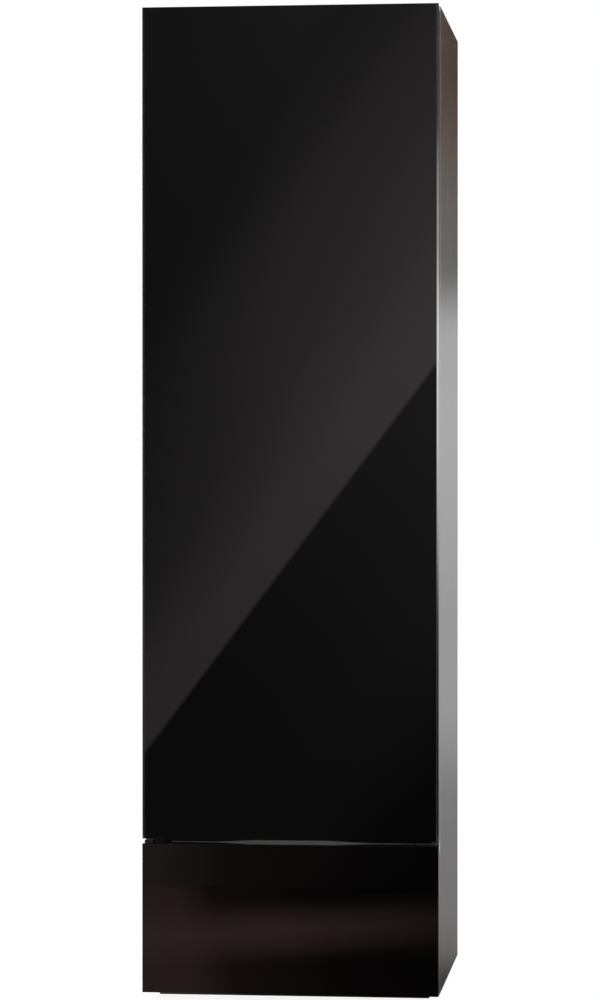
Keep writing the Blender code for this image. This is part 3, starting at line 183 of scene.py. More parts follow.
def new_line(name, points):
    """A chain of edges, drawn by extruding one vertex and left selected in edit mode."""
    points = [Vector(point) for point in points]
    piece = new_piece(name, bpy.ops.mesh.primitive_plane_add, size=MM, location=points[0])
    bpy.ops.object.mode_set(mode="EDIT")
    bpy.ops.mesh.select_mode(type="VERT")
    bpy.ops.mesh.select_all(action="SELECT")
    bpy.ops.mesh.merge(type="CENTER")
    for before, after in zip(points, points[1:]):
        bpy.ops.mesh.extrude_vertices_move(TRANSFORM_OT_translate={"value": after - before})
    bpy.ops.mesh.select_all(action="SELECT")
    bpy.ops.mesh.remove_doubles(threshold=WELD)
    return piece


def choose(*pieces):
    """Leaves edit mode and selects only these pieces, the first of them active."""
    bpy.ops.object.mode_set(mode="OBJECT")
    bpy.ops.object.select_all(action="DESELECT")
    for piece in pieces:
        piece.select_set(True)
    bpy.context.view_layer.objects.active = pieces[0]


def apply_modifier(piece, kind, **settings):
    """Adds one modifier to a piece and applies it."""
    choose(piece)
    modifier = piece.modifiers.new(kind, kind)
    for key, value in settings.items():
        setattr(modifier, key, value)
    bpy.ops.object.modifier_apply(modifier=modifier.name)


def close_up(piece, weld=WELD):
    """Merges a mesh's seams, points its faces outwards and shades its round places smoothly."""
    bpy.ops.object.mode_set(mode="EDIT")
    bpy.ops.mesh.select_all(action="SELECT")
    bpy.ops.mesh.remove_doubles(threshold=weld)
    bpy.ops.mesh.normals_make_consistent(inside=False)
    bpy.ops.object.mode_set(mode="OBJECT")
    bpy.ops.object.shade_smooth_by_angle(angle=ROUND_ANGLE)
    apply_modifier(piece, "WEIGHTED_NORMAL", keep_sharp=True, weight=100)
    return piece


def spun(name, outline, foot, axis=(0, 0, 1), steps=40):
    """Turns an outline of radius and height, in mm, once about an axis through a foot point."""
    outwards = Vector((0, 0, 1) if axis[0] else (1, 0, 0)) * MM
    along = Vector(axis) * MM
    points = [Vector(foot) + radius * outwards + height * along for radius, height in outline]
    piece = new_line(name, points)
    bpy.ops.mesh.spin(steps=steps, angle=math.tau, center=foot, axis=axis)
    return close_up(piece)


def join(name, pieces):
    """Joins finished pieces into one object."""
    choose(*pieces)
    bpy.ops.object.join()
    pieces[0].name = pieces[0].data.name = name
    return pieces[0]


def round_edges(piece, width, segments=2, angle=30):
    """Bevels every edge sharper than an angle, and shades the piece."""
    apply_modifier(
        piece, "BEVEL", width=width, segments=segments, limit_method="ANGLE",
        angle_limit=math.radians(angle),
    )
    return close_up(piece)


def fit(piece, material, body, slot, *nodes):
    """Gives a finished piece its finish and body, and hides the solids it stands for. Its slot is
    not used.
    """
    piece.data.materials.clear()
    piece.data.materials.append(material)
    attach(piece, body)
    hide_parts(*nodes)


PAD_OUTLINE = [
    (0, 0), (17, 0), (17.6, 0.5), (18.6, 0.5), (19.2, 0), (19.8, 0.4), (20, 1.2), (20, 2.6),
    (19.5, 3), (19.5, 3.6), (20, 4), (20, 6.4), (19.4, 7.6), (18, 8.2), (11.5, 11.6), (9.2, 12.4),
    (0, 12.4),
]
THREAD_FOOT, THREAD_PITCH, THREAD_RINGS = 31.7, 1.5, 9
THREAD_CORE, THREAD_CREST, THREAD_TIP = 4.3, 5, 3.6
for corner in ("front_left", "front_right", "rear_left", "rear_right"):
    low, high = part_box("foot_" + corner)
    x, y = (low.x + high.x) / 2, (low.y + high.y) / 2
    foot_pad = spun("pad", PAD_OUTLINE, (x, y, 0))
    hexagon = new_piece(
        "hexagon", bpy.ops.mesh.primitive_cylinder_add, vertices=6, radius=9.9 * MM,
        depth=19.4 * MM, location=(x, y, 22 * MM),
    )
    round_edges(hexagon, 0.6 * MM)
    thread = [(0, THREAD_FOOT)]
    for ring in range(THREAD_RINGS):
        height = THREAD_FOOT + THREAD_PITCH * ring
        thread += [(THREAD_CORE, height), (THREAD_CREST, height + THREAD_PITCH / 2)]
    top = high.z / MM
    thread += [(THREAD_CORE, top - 0.6), (THREAD_TIP, top), (0, top)]
    stem = spun("stem", thread, (x, y, 0), steps=24)
    levelling_foot = join("levelling_foot_" + corner, [foot_pad, hexagon, stem])
    fit(levelling_foot, black_abs, f"foot_{corner}_body", "black_plastic", "foot_" + corner)


# Heat pump in the lower bay
# Two coils of aluminium fins on copper tube, a welded steel compressor on rubber grommets, and
# copper pipes brazed between them. Fin spacing is drawn at 4 mm, twice the real one, so it shows.


def new_block(name, low, high, rounding=0, segments=2):
    """A cube primitive between two corners, with rounded edges if asked for."""
    low, high = Vector(low), Vector(high)
    middle = (low + high) / 2
    piece = new_piece(name, bpy.ops.mesh.primitive_cube_add, high - low, size=1, location=middle)
    return round_edges(piece, rounding, segments) if rounding else piece


def repeat(name, piece, places):
    """Copies a piece to each place, each copy with its own mesh, and joins the copies."""
    made = []
    for place in places:
        copy = piece.copy()
        copy.data = piece.data.copy()
        copy.data.transform(place if isinstance(place, Matrix) else Matrix.Translation(place))
        bpy.context.scene.collection.objects.link(copy)
        made.append(copy)
    joined = join(name, made)
    bpy.data.objects.remove(piece)
    return joined


def pick(piece, kind, test):
    """Goes into edit mode and selects the vertices, edges or faces that pass a test."""
    bpy.ops.object.mode_set(mode="EDIT")
    bpy.ops.mesh.select_mode(type=kind)
    bpy.ops.mesh.select_all(action="DESELECT")
    shape = bmesh.from_edit_mesh(piece.data)
    for part in {"VERT": shape.verts, "EDGE": shape.edges, "FACE": shape.faces}[kind]:
        part.select_set(bool(test(part)))
    bmesh.update_edit_mesh(piece.data)


def new_wire(name, points, radius, bend=0, sides=4):
    """A round wire along straight runs, with rounded corners and closed ends."""
    piece = new_line(name, points)
    if bend:
        pick(piece, "VERT", lambda vert: len(vert.link_edges) == 2)
        bpy.ops.mesh.bevel(offset=bend, segments=6, affect="VERTICES")
    bpy.ops.object.mode_set(mode="OBJECT")
    bpy.ops.object.convert(target="CURVE")
    piece = bpy.context.object
    piece.data.dimensions = "3D"
    piece.data.bevel_depth = radius
    piece.data.bevel_resolution = sides
    piece.data.use_fill_caps = True
    bpy.ops.object.convert(target="MESH")
    return close_up(bpy.context.object)


def patchy(material, size, least, most, detail=3):
    """Roughens a material in patches of one size, and returns the patches."""
    patches = add(material, "TexNoise", spot(material), Scale=1 / size, Detail=detail)
    feed(material, Roughness=add(material, "MapRange", patches, To_Min=least, To_Max=most))
    return patches


# Rolled aluminium strip: streaks of 1 by 40 mm make the gloss of the fins uneven.
fin_stock = new_material("rolled_aluminium_fin", "#C3C6C8", 0.36, 1)
rolling = add(fin_stock, "Mapping", spot(fin_stock), Scale=(1 / MM, 1 / MM, 1 / (40 * MM)))
rolled = add(fin_stock, "TexNoise", rolling, Scale=1, Detail=2)
feed(fin_stock, Roughness=add(fin_stock, "MapRange", rolled, To_Min=0.28, To_Max=0.46))

# Drawn copper: bright where it is clean, browner and duller in tarnished patches of 18 mm.
copper = new_material("drawn_copper_tube", "#C47C55", 0.3, 1)
tarnish = patchy(copper, 18 * MM, 0.22, 0.4, 4)
copper_shades = [(0.35, hex_colour("#A05A3C")), (0.65, hex_colour("#D48F68"))]
feed(copper, Base_Color=add(copper, "ValToRGB", tarnish, stops=copper_shades))

# Stove paint on steel: a fine orange peel of 2.5 mm, and scuffs of 25 mm that change its gloss.
pot_paint = new_material("black_stove_paint", "#202123", 0.42)
peel = add(pot_paint, "TexNoise", spot(pot_paint), Scale=1 / (2.5 * MM), Detail=1)
feed(pot_paint, Normal=add(pot_paint, "Bump", Strength=0.15, Distance=0.3 * MM, Height=peel))
patchy(pot_paint, 25 * MM, 0.34, 0.52, 4)
# The front posts take this black paint so that they stay dark behind the edges of the fronts:
# painted shade.
dress(pot_paint, "fan_motor", "upper_hinge", "lower_hinge", "front_post_left", "front_post_right")

COIL_HALF = 95 * MM
COIL_ROUNDING = 0.4 * MM
FIN_PITCH, FIN_COUNT, FIN_SHEET = 4 * MM, 47, 0.4 * MM
END_SHEET, TIE_SHEET = 1.5 * MM, 2 * MM
TUBE_ROWS, TUBE_PITCH, TUBE_DROP, TUBE_REACH = 8, 26 * MM, 22 * MM, 9 * MM
TUBE_RADIUS, TUBE_BEND = 4.5 * MM, 12 * MM
SPIGOT_RADIUS, SPIGOT_DROP = 6 * MM, 16 * MM
for coil in ("evaporator", "condenser"):
    low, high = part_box(coil)
    fin_low = (3 * MM - COIL_HALF, low.y + MM, low.z + TIE_SHEET)
    fin_high = (fin_low[0] + FIN_SHEET, high.y - MM, high.z - TIE_SHEET)
    fin_places = [(index * FIN_PITCH, 0, 0) for index in range(FIN_COUNT)]
    pieces = [repeat("fins", new_block("fin", fin_low, fin_high), fin_places)]
    for x in (-COIL_HALF, COIL_HALF - END_SHEET):
        ends = (x, low.y, low.z), (x + END_SHEET, high.y, high.z)
        pieces.append(new_block("end_plate", *ends, COIL_ROUNDING))
    for z in (low.z, high.z - TIE_SHEET):
        ends = (-COIL_HALF, low.y, z), (COIL_HALF, high.y, z + TIE_SHEET)
        pieces.append(new_block("tie", *ends, COIL_ROUNDING))
    fit(join(coil + "_fins", pieces), fin_stock, "cabinet", "aluminium", coil)
    runs = []
    turns = (-COIL_HALF - TUBE_REACH, COIL_HALF + TUBE_REACH)
    for y in ((low.y * 3 + high.y) / 4, (low.y + high.y * 3) / 4):
        bends = []
        for row in range(TUBE_ROWS):
            z = high.z - TUBE_DROP - row * TUBE_PITCH
            bends += [(x, y, z) for x in (turns if row % 2 == 0 else reversed(turns))]
        runs.append(new_wire("run", bends, TUBE_RADIUS, TUBE_BEND))
    y, z = (low.y + high.y) / 2, high.z - SPIGOT_DROP
    runs.append(new_wire("spigot", [(low.x, y, z), (4 * MM - COIL_HALF, y, z)], SPIGOT_RADIUS))
    fit(join(coil + "_tubes", runs), copper, "cabinet", "copper")

POT_OUTLINE = [
    (0, 2), (50, 2), (54, 5), (56, 12), (56.5, 30), (56.5, 104), (57.6, 106), (58, 109),
    (57.6, 112), (56.5, 114), (56.5, 160), (55, 172), (50, 182), (42, 188.5), (30, 192.5),
    (16, 194), (0, 194),
]
TERMINAL_HALF = 17 * MM
low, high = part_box("compressor")
pot_x, pot_y = (low.x + high.x) / 2, (low.y + high.y) / 2
pot = spun("pot", POT_OUTLINE, (pot_x, pot_y, low.z), steps=56)
plate_low = (low.x, low.y, low.z + 0.5 * MM)
foot_plate = new_block("foot_plate", plate_low, (high.x, high.y, low.z + 4 * MM))
pick(foot_plate, "EDGE", lambda edge: abs((edge.verts[0].co - edge.verts[1].co).z) > MM)
bpy.ops.mesh.bevel(offset=16 * MM, segments=5, affect="EDGES")
round_edges(foot_plate, 0.8 * MM)
terminal_low = (pot_x - TERMINAL_HALF, low.y + 2 * MM, low.z + 96 * MM)
terminal_high = (pot_x + TERMINAL_HALF, pot_y - 48 * MM, low.z + 142 * MM)
terminal = new_block("terminal", terminal_low, terminal_high, 4 * MM, 3)
shell = join("compressor_pot", [pot, foot_plate, terminal])
fit(shell, pot_paint, "cabinet", "dark_metal", "compressor")
stub_stations = (pot_y - 26 * MM, pot_y + 26 * MM)
stubs = []
for y in stub_stations:
    ends = [(pot_x, y, low.z + 178 * MM), (pot_x, y, high.z)]
    stubs.append(new_wire("stub", ends, SPIGOT_RADIUS))
fit(join("compressor_stubs", stubs), copper, "cabinet", "copper")

# Grey rubber: dark and dull, with a coarser grain than the plastics.
rubber = moulded("moulded_grey_rubber", "#3A3B3D", 0.72, 1.2 * MM, 0.2)
GROMMET = [(5, 4), (9.5, 4), (10, 5), (10, 8), (9, 9), (7.5, 9.4), (7.5, 12), (5, 12.4), (5, 4)]
GROMMET_INSET = 16 * MM
buffers = []
for x in (low.x + GROMMET_INSET, high.x - GROMMET_INSET):
    for y in (low.y + GROMMET_INSET, high.y - GROMMET_INSET):
        buffers.append(spun("buffer", GROMMET, (x, y, low.z), steps=24))
fit(join("compressor_buffers", buffers), rubber, "cabinet", "grey_rubber")

PIPE_RADIUS, PIPE_BEND, PIPE_LEAD = 5 * MM, 6 * MM, 14 * MM
PIPES = (("suction_pipe", "evaporator"), ("discharge_pipe", "condenser"))
for (pipe, coil), y in zip(PIPES, stub_stations):
    pipe_low, pipe_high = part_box(pipe)
    coil_low, coil_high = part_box(coil)
    coil_y, coil_z = (coil_low.y + coil_high.y) / 2, coil_high.z - SPIGOT_DROP
    rise = pipe_high.z - PIPE_RADIUS
    route = [
        (pot_x, y, pipe_low.z), (pot_x, y, rise), ((pot_x + pipe_high.x) / 2, coil_y, rise),
        (pipe_high.x - PIPE_LEAD, coil_y, coil_z), (pipe_high.x, coil_y, coil_z),
    ]
    bent_pipe = new_wire("bent_" + pipe, route, PIPE_RADIUS, PIPE_BEND, sides=6)
    fit(bent_pipe, copper, "cabinet", "copper", pipe)


# Air path
# Grey mouldings lead the air: the trough under the lint filter, the filter's basket and the fan's
# box, screwed to the chamber floor and the duct.

# Polypropylene: mid grey, a little waxy, with the fine grain of its tool.
grey_pp = moulded("moulded_grey_polypropylene", "#9A9C9E", 0.46)
dress(grey_pp, "filter_housing", "fan_housing", "lint_filter")


# Drying chamber
# White mouldings, clipped together, line the chamber: a floor, two sides, a ceiling and a slotted
# rear wall. Ribs stiffen the sides, and low bars on the floor let water run off under shoes.

# White ABS: clean and slightly glossy, with a shallow grain.
white_abs = moulded("moulded_white_abs", "#E3E5E4", 0.36, 1.1 * MM, 0.08)
dress(white_abs, "chamber_side_left", "chamber_side_right", "chamber_ceiling", "chamber_floor")
dress(white_abs, "air_diffuser")

SINK = 0.3 * MM
BAR_HALF, BAR_PITCH, BAR_COUNT = 232 * MM, 18 * MM, 15
floor_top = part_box("chamber_floor")[1].z
first_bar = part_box("lint_filter")[1].y + 20 * MM
bar_low = (-BAR_HALF, -1.5 * MM, floor_top - SINK)
bar = new_block("bar", bar_low, (BAR_HALF, 1.5 * MM, floor_top + 1.4 * MM), 0.6 * MM)
bar_places = [(0, first_bar + BAR_PITCH * row, 0) for row in range(BAR_COUNT)]
fit(repeat("floor_bars", bar, bar_places), white_abs, "cabinet", "white_plastic")

CHAMBER_HALF = 262 * MM
RIB_FOOT, RIB_HALF, RIB_HEIGHT = 365 * MM, 4 * MM, 1.2 * MM
RIB_STATIONS = (-205, -185, -105, -85, -65, 40, 60, 80, 110, 130, 150)
wall_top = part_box("chamber_side_right")[1].z
for side, name in ((-1, "left"), (1, "right")):
    x = sorted((side * (CHAMBER_HALF - RIB_HEIGHT), side * (CHAMBER_HALF + SINK)))
    rib_high = (x[1], RIB_HALF, wall_top - 18 * MM)
    rib = new_block("rib", (x[0], -RIB_HALF, RIB_FOOT), rib_high, 0.7 * MM)
    ribs = repeat("wall_ribs_" + name, rib, [(0, y * MM, 0) for y in RIB_STATIONS])
    fit(ribs, white_abs, "cabinet", "white_plastic")


def new_hood(name, low, high, outer, drop, rounding):
    """A hood over a slot: a block whose upper edge is pushed down on its outer side."""
    piece = new_block(name, low, high)
    top = high[2] - MM
    pick(piece, "VERT", lambda vert: abs(vert.co.y - outer) < MM and vert.co.z > top)
    bpy.ops.transform.translate(value=(0, 0, -drop))
    return round_edges(piece, rounding)


HOOD_HALF, HOOD_REACH, HOOD_ROWS, HOOD_PITCH = 38 * MM, 4.5 * MM, 26, 46 * MM
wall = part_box("air_diffuser")[0].y
top_slot = wall_top + SINK - 90 * MM
hood_low, hood_high = (-HOOD_HALF, wall - HOOD_REACH, 7 * MM), (HOOD_HALF, wall + SINK, 11 * MM)
hood = new_hood("hood", hood_low, hood_high, hood_low[1], 2.6 * MM, 0.5 * MM)
hood_heights = [top_slot - HOOD_PITCH * row for row in range(HOOD_ROWS)]
hood_places = [(x, 0, z) for x in (-50 * MM, 50 * MM) for z in hood_heights]
fit(repeat("diffuser_hoods", hood, hood_places), white_abs, "cabinet", "white_plastic")


# Chamber lamp
# A long acrylic lens on a shallow body, clipped into the ceiling. Fine ridges along it spread the
# light.

# Opal acrylic: milky and smooth, glossier than the mouldings around it.
opal = moulded("opal_acrylic", "#F1F1EA", 0.22, 3 * MM, 0.03)
LENS_DEPTH, LENS_LIP = 4 * MM, 4 * MM
RIDGE_INSET, RIDGE_PITCH, RIDGE_COUNT = 6 * MM, 3 * MM, 11
low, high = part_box("chamber_lamp")
lens = new_block("lens", low, (high.x, high.y, low.z + LENS_DEPTH), 1.6 * MM, 3)
body_low = low + Vector((LENS_LIP, LENS_LIP, LENS_DEPTH / 2))
lamp_body = new_block("lamp_body", body_low, high - Vector((LENS_LIP, LENS_LIP, 0)), MM)
z = low.z + 0.4 * MM
ridge_ends = [(low.x + RIDGE_INSET, 0, z), (high.x - RIDGE_INSET, 0, z)]
ridge_places = [(0, low.y + RIDGE_INSET + RIDGE_PITCH * row, 0) for row in range(RIDGE_COUNT)]
ridges = repeat("ridges", new_wire("ridge", ridge_ends, MM, sides=2), ridge_places)
fit(join("lamp_lens", [lens, lamp_body, ridges]), opal, "cabinet", "lamp_lens", "chamber_lamp")


# Lint filter
# The basket lifts out of the floor. Steel gauze lies on its slotted bottom, drawn at a 4 mm mesh
# so that the weave shows.

# Bright chrome plate: nearly a mirror, with hazy patches of 30 mm from handling.
chrome = new_material("bright_chrome_plate", "#D9DBDD", 0.08, 1)
patchy(chrome, 30 * MM, 0.05, 0.14)
dress(chrome, "runner_middle_left", "runner_middle_right")

GAUZE, GAUZE_WIRE = 4 * MM, 0.5 * MM
BASKET_WALL, BASKET_FLOOR = 11.4 * MM, 3.6 * MM
low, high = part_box("lint_filter")
width, depth = high.x - low.x - 2 * BASKET_WALL, high.y - low.y - 2 * BASKET_WALL
gauze = new_piece(
    "filter_gauze", bpy.ops.mesh.primitive_grid_add, (width, depth, 1), size=1,
    x_subdivisions=round(width / GAUZE), y_subdivisions=round(depth / GAUZE),
    location=(0, (low.y + high.y) / 2, low.z + BASKET_FLOOR),
)
apply_modifier(
    gauze, "WIREFRAME", thickness=GAUZE_WIRE, use_even_offset=False, use_boundary=True
)
fit(close_up(gauze), chrome, "lint_filter_body", "chrome")


# Hanging rail
# A chromed steel tube across the chamber, held by a pressed flange at each end that is screwed to
# the wall.
END_OUTLINE = [
    (0, 0), (23.4, 0), (24, 0.6), (24, 3.4), (23, 5.2), (21, 6), (15.5, 6.3), (13.2, 7.4),
    (12.5, 10),
]
low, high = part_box("hanging_rail")
length = (high.x - low.x) / MM
rail_outline = END_OUTLINE + [(radius, length - reach) for radius, reach in END_OUTLINE[::-1]]
rail_foot = (low.x, (low.y + high.y) / 2, (low.z + high.z) / 2)
rail = spun("chrome_rail", rail_outline, rail_foot, (1, 0, 0), 48)
fit(rail, chrome, "cabinet", "chrome", "hanging_rail")


# Folding racks
# Chromed wire racks: a bent frame wire, thinner bars welded across it, and a pivot rod at the rear
# whose ends turn in sockets in the walls.
RACK_HALF, RACK_DEPTH, RACK_GAPS = 246 * MM, 395 * MM, 10
BOW_RADIUS, BOW_BEND, CROSS_RADIUS = 4 * MM, 24 * MM, 3 * MM
for rack in ("drying_rack", "shoe_rack"):
    low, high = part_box(rack)
    z = (low.z + high.z) / 2
    rear = high.y - BOW_RADIUS
    front = rear - RACK_DEPTH
    left, right = (-RACK_HALF, rear, z), (RACK_HALF, rear, z)
    bow = [left, (-RACK_HALF, front, z), (RACK_HALF, front, z), right]
    wires = [new_wire("bow", bow, BOW_RADIUS, BOW_BEND, sides=6)]
    wires.append(new_wire("pivot", [(low.x, rear, z), (high.x, rear, z)], BOW_RADIUS, sides=6))
    cross = new_wire("cross", [left, right], CROSS_RADIUS, sides=5)
    cross_places = [(0, -index * RACK_DEPTH / RACK_GAPS, 0) for index in range(1, RACK_GAPS)]
    wires.append(repeat("crosses", cross, cross_places))
    fit(join("wire_" + rack, wires), chrome, rack + "_body", "chrome", rack)


# Brushed steel
# Folded stainless sheet: the top, the header, the cross rail and the frames behind the glass. On
# the cross rail black tape keeps its face dark in the gap between the fronts (painted shade), and
# a pale rubber strip over the tape, thinner at its ends, makes a light line there (painted
# highlight).
ACROSS, ALONG = 1 / (0.7 * MM), 1 / (160 * MM)
STEEL = "#C2C1BF"


def brushed(name, grain):
    """Brushed stainless steel, with its scratches along one axis."""
    material = new_material(name, STEEL, 0.25, 1)
    stretch = add(material, "Mapping", spot(material), Scale=grain)
    scratches = add(material, "TexNoise", stretch, Scale=1, Detail=3, Roughness=0.6)
    shades = tints(STEEL, (0.3, 0.9), (0.7, 1.06))
    feed(
        material,
        Base_Color=add(material, "ValToRGB", scratches, stops=shades),
        Roughness=add(material, "MapRange", scratches, To_Min=0.2, To_Max=0.3),
        Normal=add(material, "Bump", Strength=0.04, Distance=0.1 * MM, Height=scratches),
    )
    return material


# Brushed stainless: long scratches streak its tone and gloss, upright on the sides and from left
# to right on the top. They are drawn 0.7 mm wide, coarser than the real grit, so that they show.
upright_steel = brushed("brushed_stainless_upright", (ACROSS, ACROSS, ALONG))
level_steel = brushed("brushed_stainless_level", (ALONG, ACROSS, ACROSS))
dress(level_steel, "top_panel", "header_bar", "cross_rail")
dress(upright_steel, "door_frame", "drawer_shell")

# Black rubber tape: quite dull, with a fabric-like grain of 1 mm.
tape_rubber = moulded("black_rubber_tape", "#121213", 0.85, MM, 0.3)
TAPE, TAPE_ROUNDING = 0.2 * MM, 0.08 * MM
low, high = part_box("cross_rail")
# The black tape keeps the cross rail's face dark in the gap between the fronts: painted shade.
tape_low, tape_high = (low.x, low.y - TAPE, 302 * MM), (high.x, low.y + TAPE, 324 * MM)
rail_shade_tape = new_block("rail_shade_tape", tape_low, tape_high, TAPE_ROUNDING)
fit(rail_shade_tape, tape_rubber, "cabinet", "grey_rubber")
# A pale rubber strip on the tape makes a light line in the gap between the fronts: a painted
# highlight. It narrows towards both ends so that the line fades there.
STRIP_LOW, STRIP_HIGH, STRIP_HALF = 310.4 * MM, 319.8 * MM, 70 * MM
STRIP_ENDS = ((80 * MM, 0.2), (95 * MM, 0.5))
strip_low = (-STRIP_HALF, low.y - 3.6 * MM, STRIP_LOW)
gap_highlight_strip = new_block("gap_highlight_strip", strip_low, (STRIP_HALF, low.y + TAPE, STRIP_HIGH))
strip_middle = (0, 0, (STRIP_LOW + STRIP_HIGH) / 2)
for side in (-1, 1):
    pick(gap_highlight_strip, "FACE", lambda face: face.normal.x * side > 0.9)
    for reach, share in STRIP_ENDS:
        bpy.ops.mesh.extrude_region_move(TRANSFORM_OT_translate={"value": (side * reach, 0, 0)})
        bpy.ops.transform.resize(value=(1, 1, share), center_override=strip_middle)
round_edges(gap_highlight_strip, 0.4 * MM, 3)

# Silicone rubber: off-white and matt, with a faint grain.
highlight_rubber = moulded("pale_silicone_highlight", "#E4E4E2", 0.55, 1.2 * MM, 0.1)
fit(gap_highlight_strip, highlight_rubber, "cabinet", "grey_rubber")


# Controls behind the door
# A black fascia above the chamber carries a knurled steel selector with a dial of plain marks, a
# start button in a ring, and a row of pilot lights.
KNOB_RADIUS, KNOB_DEPTH, KNURLS = 19 * MM, 14 * MM, 72
KNOB_RIM = 0.9 * MM
low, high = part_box("selector_knob")
knob_x, knob_z = (low.x + high.x) / 2, (low.z + high.z) / 2
knob = new_piece(
    "knob", bpy.ops.mesh.primitive_cylinder_add, vertices=KNURLS, radius=KNOB_RADIUS,
    depth=KNOB_DEPTH, rotation=(math.pi / 2, 0, 0),
    location=(knob_x, low.y + KNOB_DEPTH / 2, knob_z),
)
pick(knob, "FACE", lambda face: face.normal.y < -0.9)
bpy.ops.mesh.inset(thickness=1.6 * MM, depth=KNOB_RIM)
bpy.ops.mesh.inset(thickness=1.2 * MM, depth=-0.5 * MM)
bpy.ops.mesh.inset(thickness=3 * MM, depth=-0.3 * MM)


def is_groove(face):
    """Every second of the long faces around the knob."""
    middle = face.calc_center_median()
    turn = math.atan2(middle.z - knob_z, middle.x - knob_x) / math.tau * KNURLS
    is_long = abs(face.normal.y) < 0.3 and face.calc_area() > 10 * MM * MM
    return is_long and int(turn + KNURLS) % 2 == 0


pick(knob, "FACE", is_groove)
bpy.ops.mesh.inset(thickness=0.3 * MM, depth=-0.5 * MM, use_individual=True)
bpy.ops.object.mode_set(mode="OBJECT")
bpy.ops.object.shade_smooth_by_angle(angle=math.radians(25))
knob.data.transform(Matrix.Translation((0, KNOB_RIM, 0)))
shaft_ends = [(knob_x, low.y + KNOB_DEPTH - MM, knob_z), (knob_x, high.y, knob_z)]
shaft = new_wire("shaft", shaft_ends, 3 * MM)
pointer_low = (knob_x - 0.9 * MM, low.y + 0.2 * MM, knob_z + 5 * MM)
pointer_high = (knob_x + 0.9 * MM, low.y + 2.4 * MM, knob_z + 15 * MM)
pointer = new_block("pointer", pointer_low, pointer_high, 0.3 * MM)
selector = join("knurled_selector", [knob, shaft, pointer])
fit(selector, upright_steel, "knob_body", "brushed_steel", "selector_knob")

BACKWARDS = (0, 1, 0)
CAP_OUTLINE = [
    (0, 0.5), (4, 0.6), (6.2, 0.3), (7.6, 0), (8.4, 0.25), (8.9, 0.9), (9, 1.8), (9, 7.8),
    (11, 7.8), (11, 9.8), (0, 9.8),
]
low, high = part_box("start_button")
button_x, button_z = (low.x + high.x) / 2, (low.z + high.z) / 2
cap = spun("start_cap", CAP_OUTLINE, (button_x, low.y, button_z), BACKWARDS)
fit(cap, upright_steel, "button_body", "brushed_steel", "start_button")

RING_OUTLINE = [
    (9.6, 0.3), (9.6, -1.2), (10.2, -1.8), (11.2, -1.8), (12, -1.1), (12.3, 0.3), (9.6, 0.3),
]
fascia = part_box("control_fascia")[0].y
ring = spun("button_ring", RING_OUTLINE, (button_x, fascia, button_z), BACKWARDS)
fit(ring, upright_steel, "cabinet", "brushed_steel")

# Screen ink: flat off-white marks on the black fascia.
white_ink = moulded("white_screen_ink", "#D8D8D6", 0.6, 0.5 * MM, 0.05)
mark_low = (-0.5 * MM, fascia - 0.3 * MM, 21.5 * MM)
mark = new_block("mark", mark_low, (0.5 * MM, fascia + 0.2 * MM, 25 * MM), 0.12 * MM, 1)
mark_turns = [Matrix.Rotation(math.radians(angle), 4, "Y") for angle in range(0, 300, 30)]
mark_places = [Matrix.Translation((knob_x, 0, knob_z)) @ turn for turn in mark_turns]
fit(repeat("dial_marks", mark, mark_places), white_ink, "cabinet", "white_plastic")

# Smoked acrylic: small glossy domes, dull green while unlit.
pilot_lens = moulded("smoked_pilot_lens", "#8DA095", 0.15, MM, 0.02)
PIP_OUTLINE = [(0, -1.1), (0.9, -0.95), (1.5, -0.5), (1.7, 0.2), (0, 0.2)]
pip = spun("pip", PIP_OUTLINE, (0, fascia, knob_z), BACKWARDS, 16)
pip_places = [((40 + 12 * index) * MM, 0, 0) for index in range(6)]
fit(repeat("pilot_lights", pip, pip_places), pilot_lens, "cabinet", "lamp_lens")


# Casing sides
# Each side is one brushed stainless sheet of 1.2 mm, folded in at the front and the rear with a
# 2.2 mm radius and open over the base tray. A thin black rubber tape on the front fold keeps the
# fold dark beside the fronts: painted shade.
SHEET = 1.2 * MM
FOLD_RADIUS = 2.2 * MM


def quarter(centre, radius, start):
    """Points of a quarter turn about a corner's centre, from a start angle in degrees."""
    angles = [math.radians(start + 15 * step) for step in range(7)]
    x, y, z = centre
    return [(x + radius * math.cos(turn), y + radius * math.sin(turn), z) for turn in angles]


def extruded(name, section, height):
    """A closed section of points on one level, drawn and then pulled up."""
    piece = new_line(name, [*section, section[0]])
    bpy.ops.mesh.edge_face_add()
    bpy.ops.mesh.extrude_region_move(TRANSFORM_OT_translate={"value": (0, 0, height)})
    return close_up(piece)


TAPE_INNER, TAPE_OUTER = 281 * MM, 294.5 * MM
for side, name in ((-1, "left"), (1, "right")):
    low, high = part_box("side_panel_" + name)
    front_centre = (high.x - FOLD_RADIUS, low.y + FOLD_RADIUS, low.z)
    rear_centre = (high.x - FOLD_RADIUS, high.y - FOLD_RADIUS, low.z)
    section = [
        low, *quarter(front_centre, FOLD_RADIUS, -90), *quarter(rear_centre, FOLD_RADIUS, 0),
        (low.x, high.y, low.z), (low.x, high.y - SHEET, low.z),
        *reversed(quarter(rear_centre, FOLD_RADIUS - SHEET, 0)),
        *reversed(quarter(front_centre, FOLD_RADIUS - SHEET, -90)), (low.x, low.y + SHEET, low.z),
    ]
    if side < 0:
        section = [(low.x + high.x - x, y, z) for x, y, z in section]
    panel = extruded("folded_side_" + name, section, high.z - low.z)
    fit(panel, upright_steel, "cabinet", "brushed_steel", "side_panel_" + name)
    # The black tape on the front fold keeps the fold dark beside the fronts: painted shade.
    x = sorted((side * TAPE_INNER, side * TAPE_OUTER))
    ends = (x[0], low.y - TAPE, low.z), (x[1], low.y + TAPE, high.z)
    tape = new_block("fold_shade_tape_" + name, *ends, TAPE_ROUNDING)
    fit(tape, tape_rubber, "cabinet", "grey_rubber")


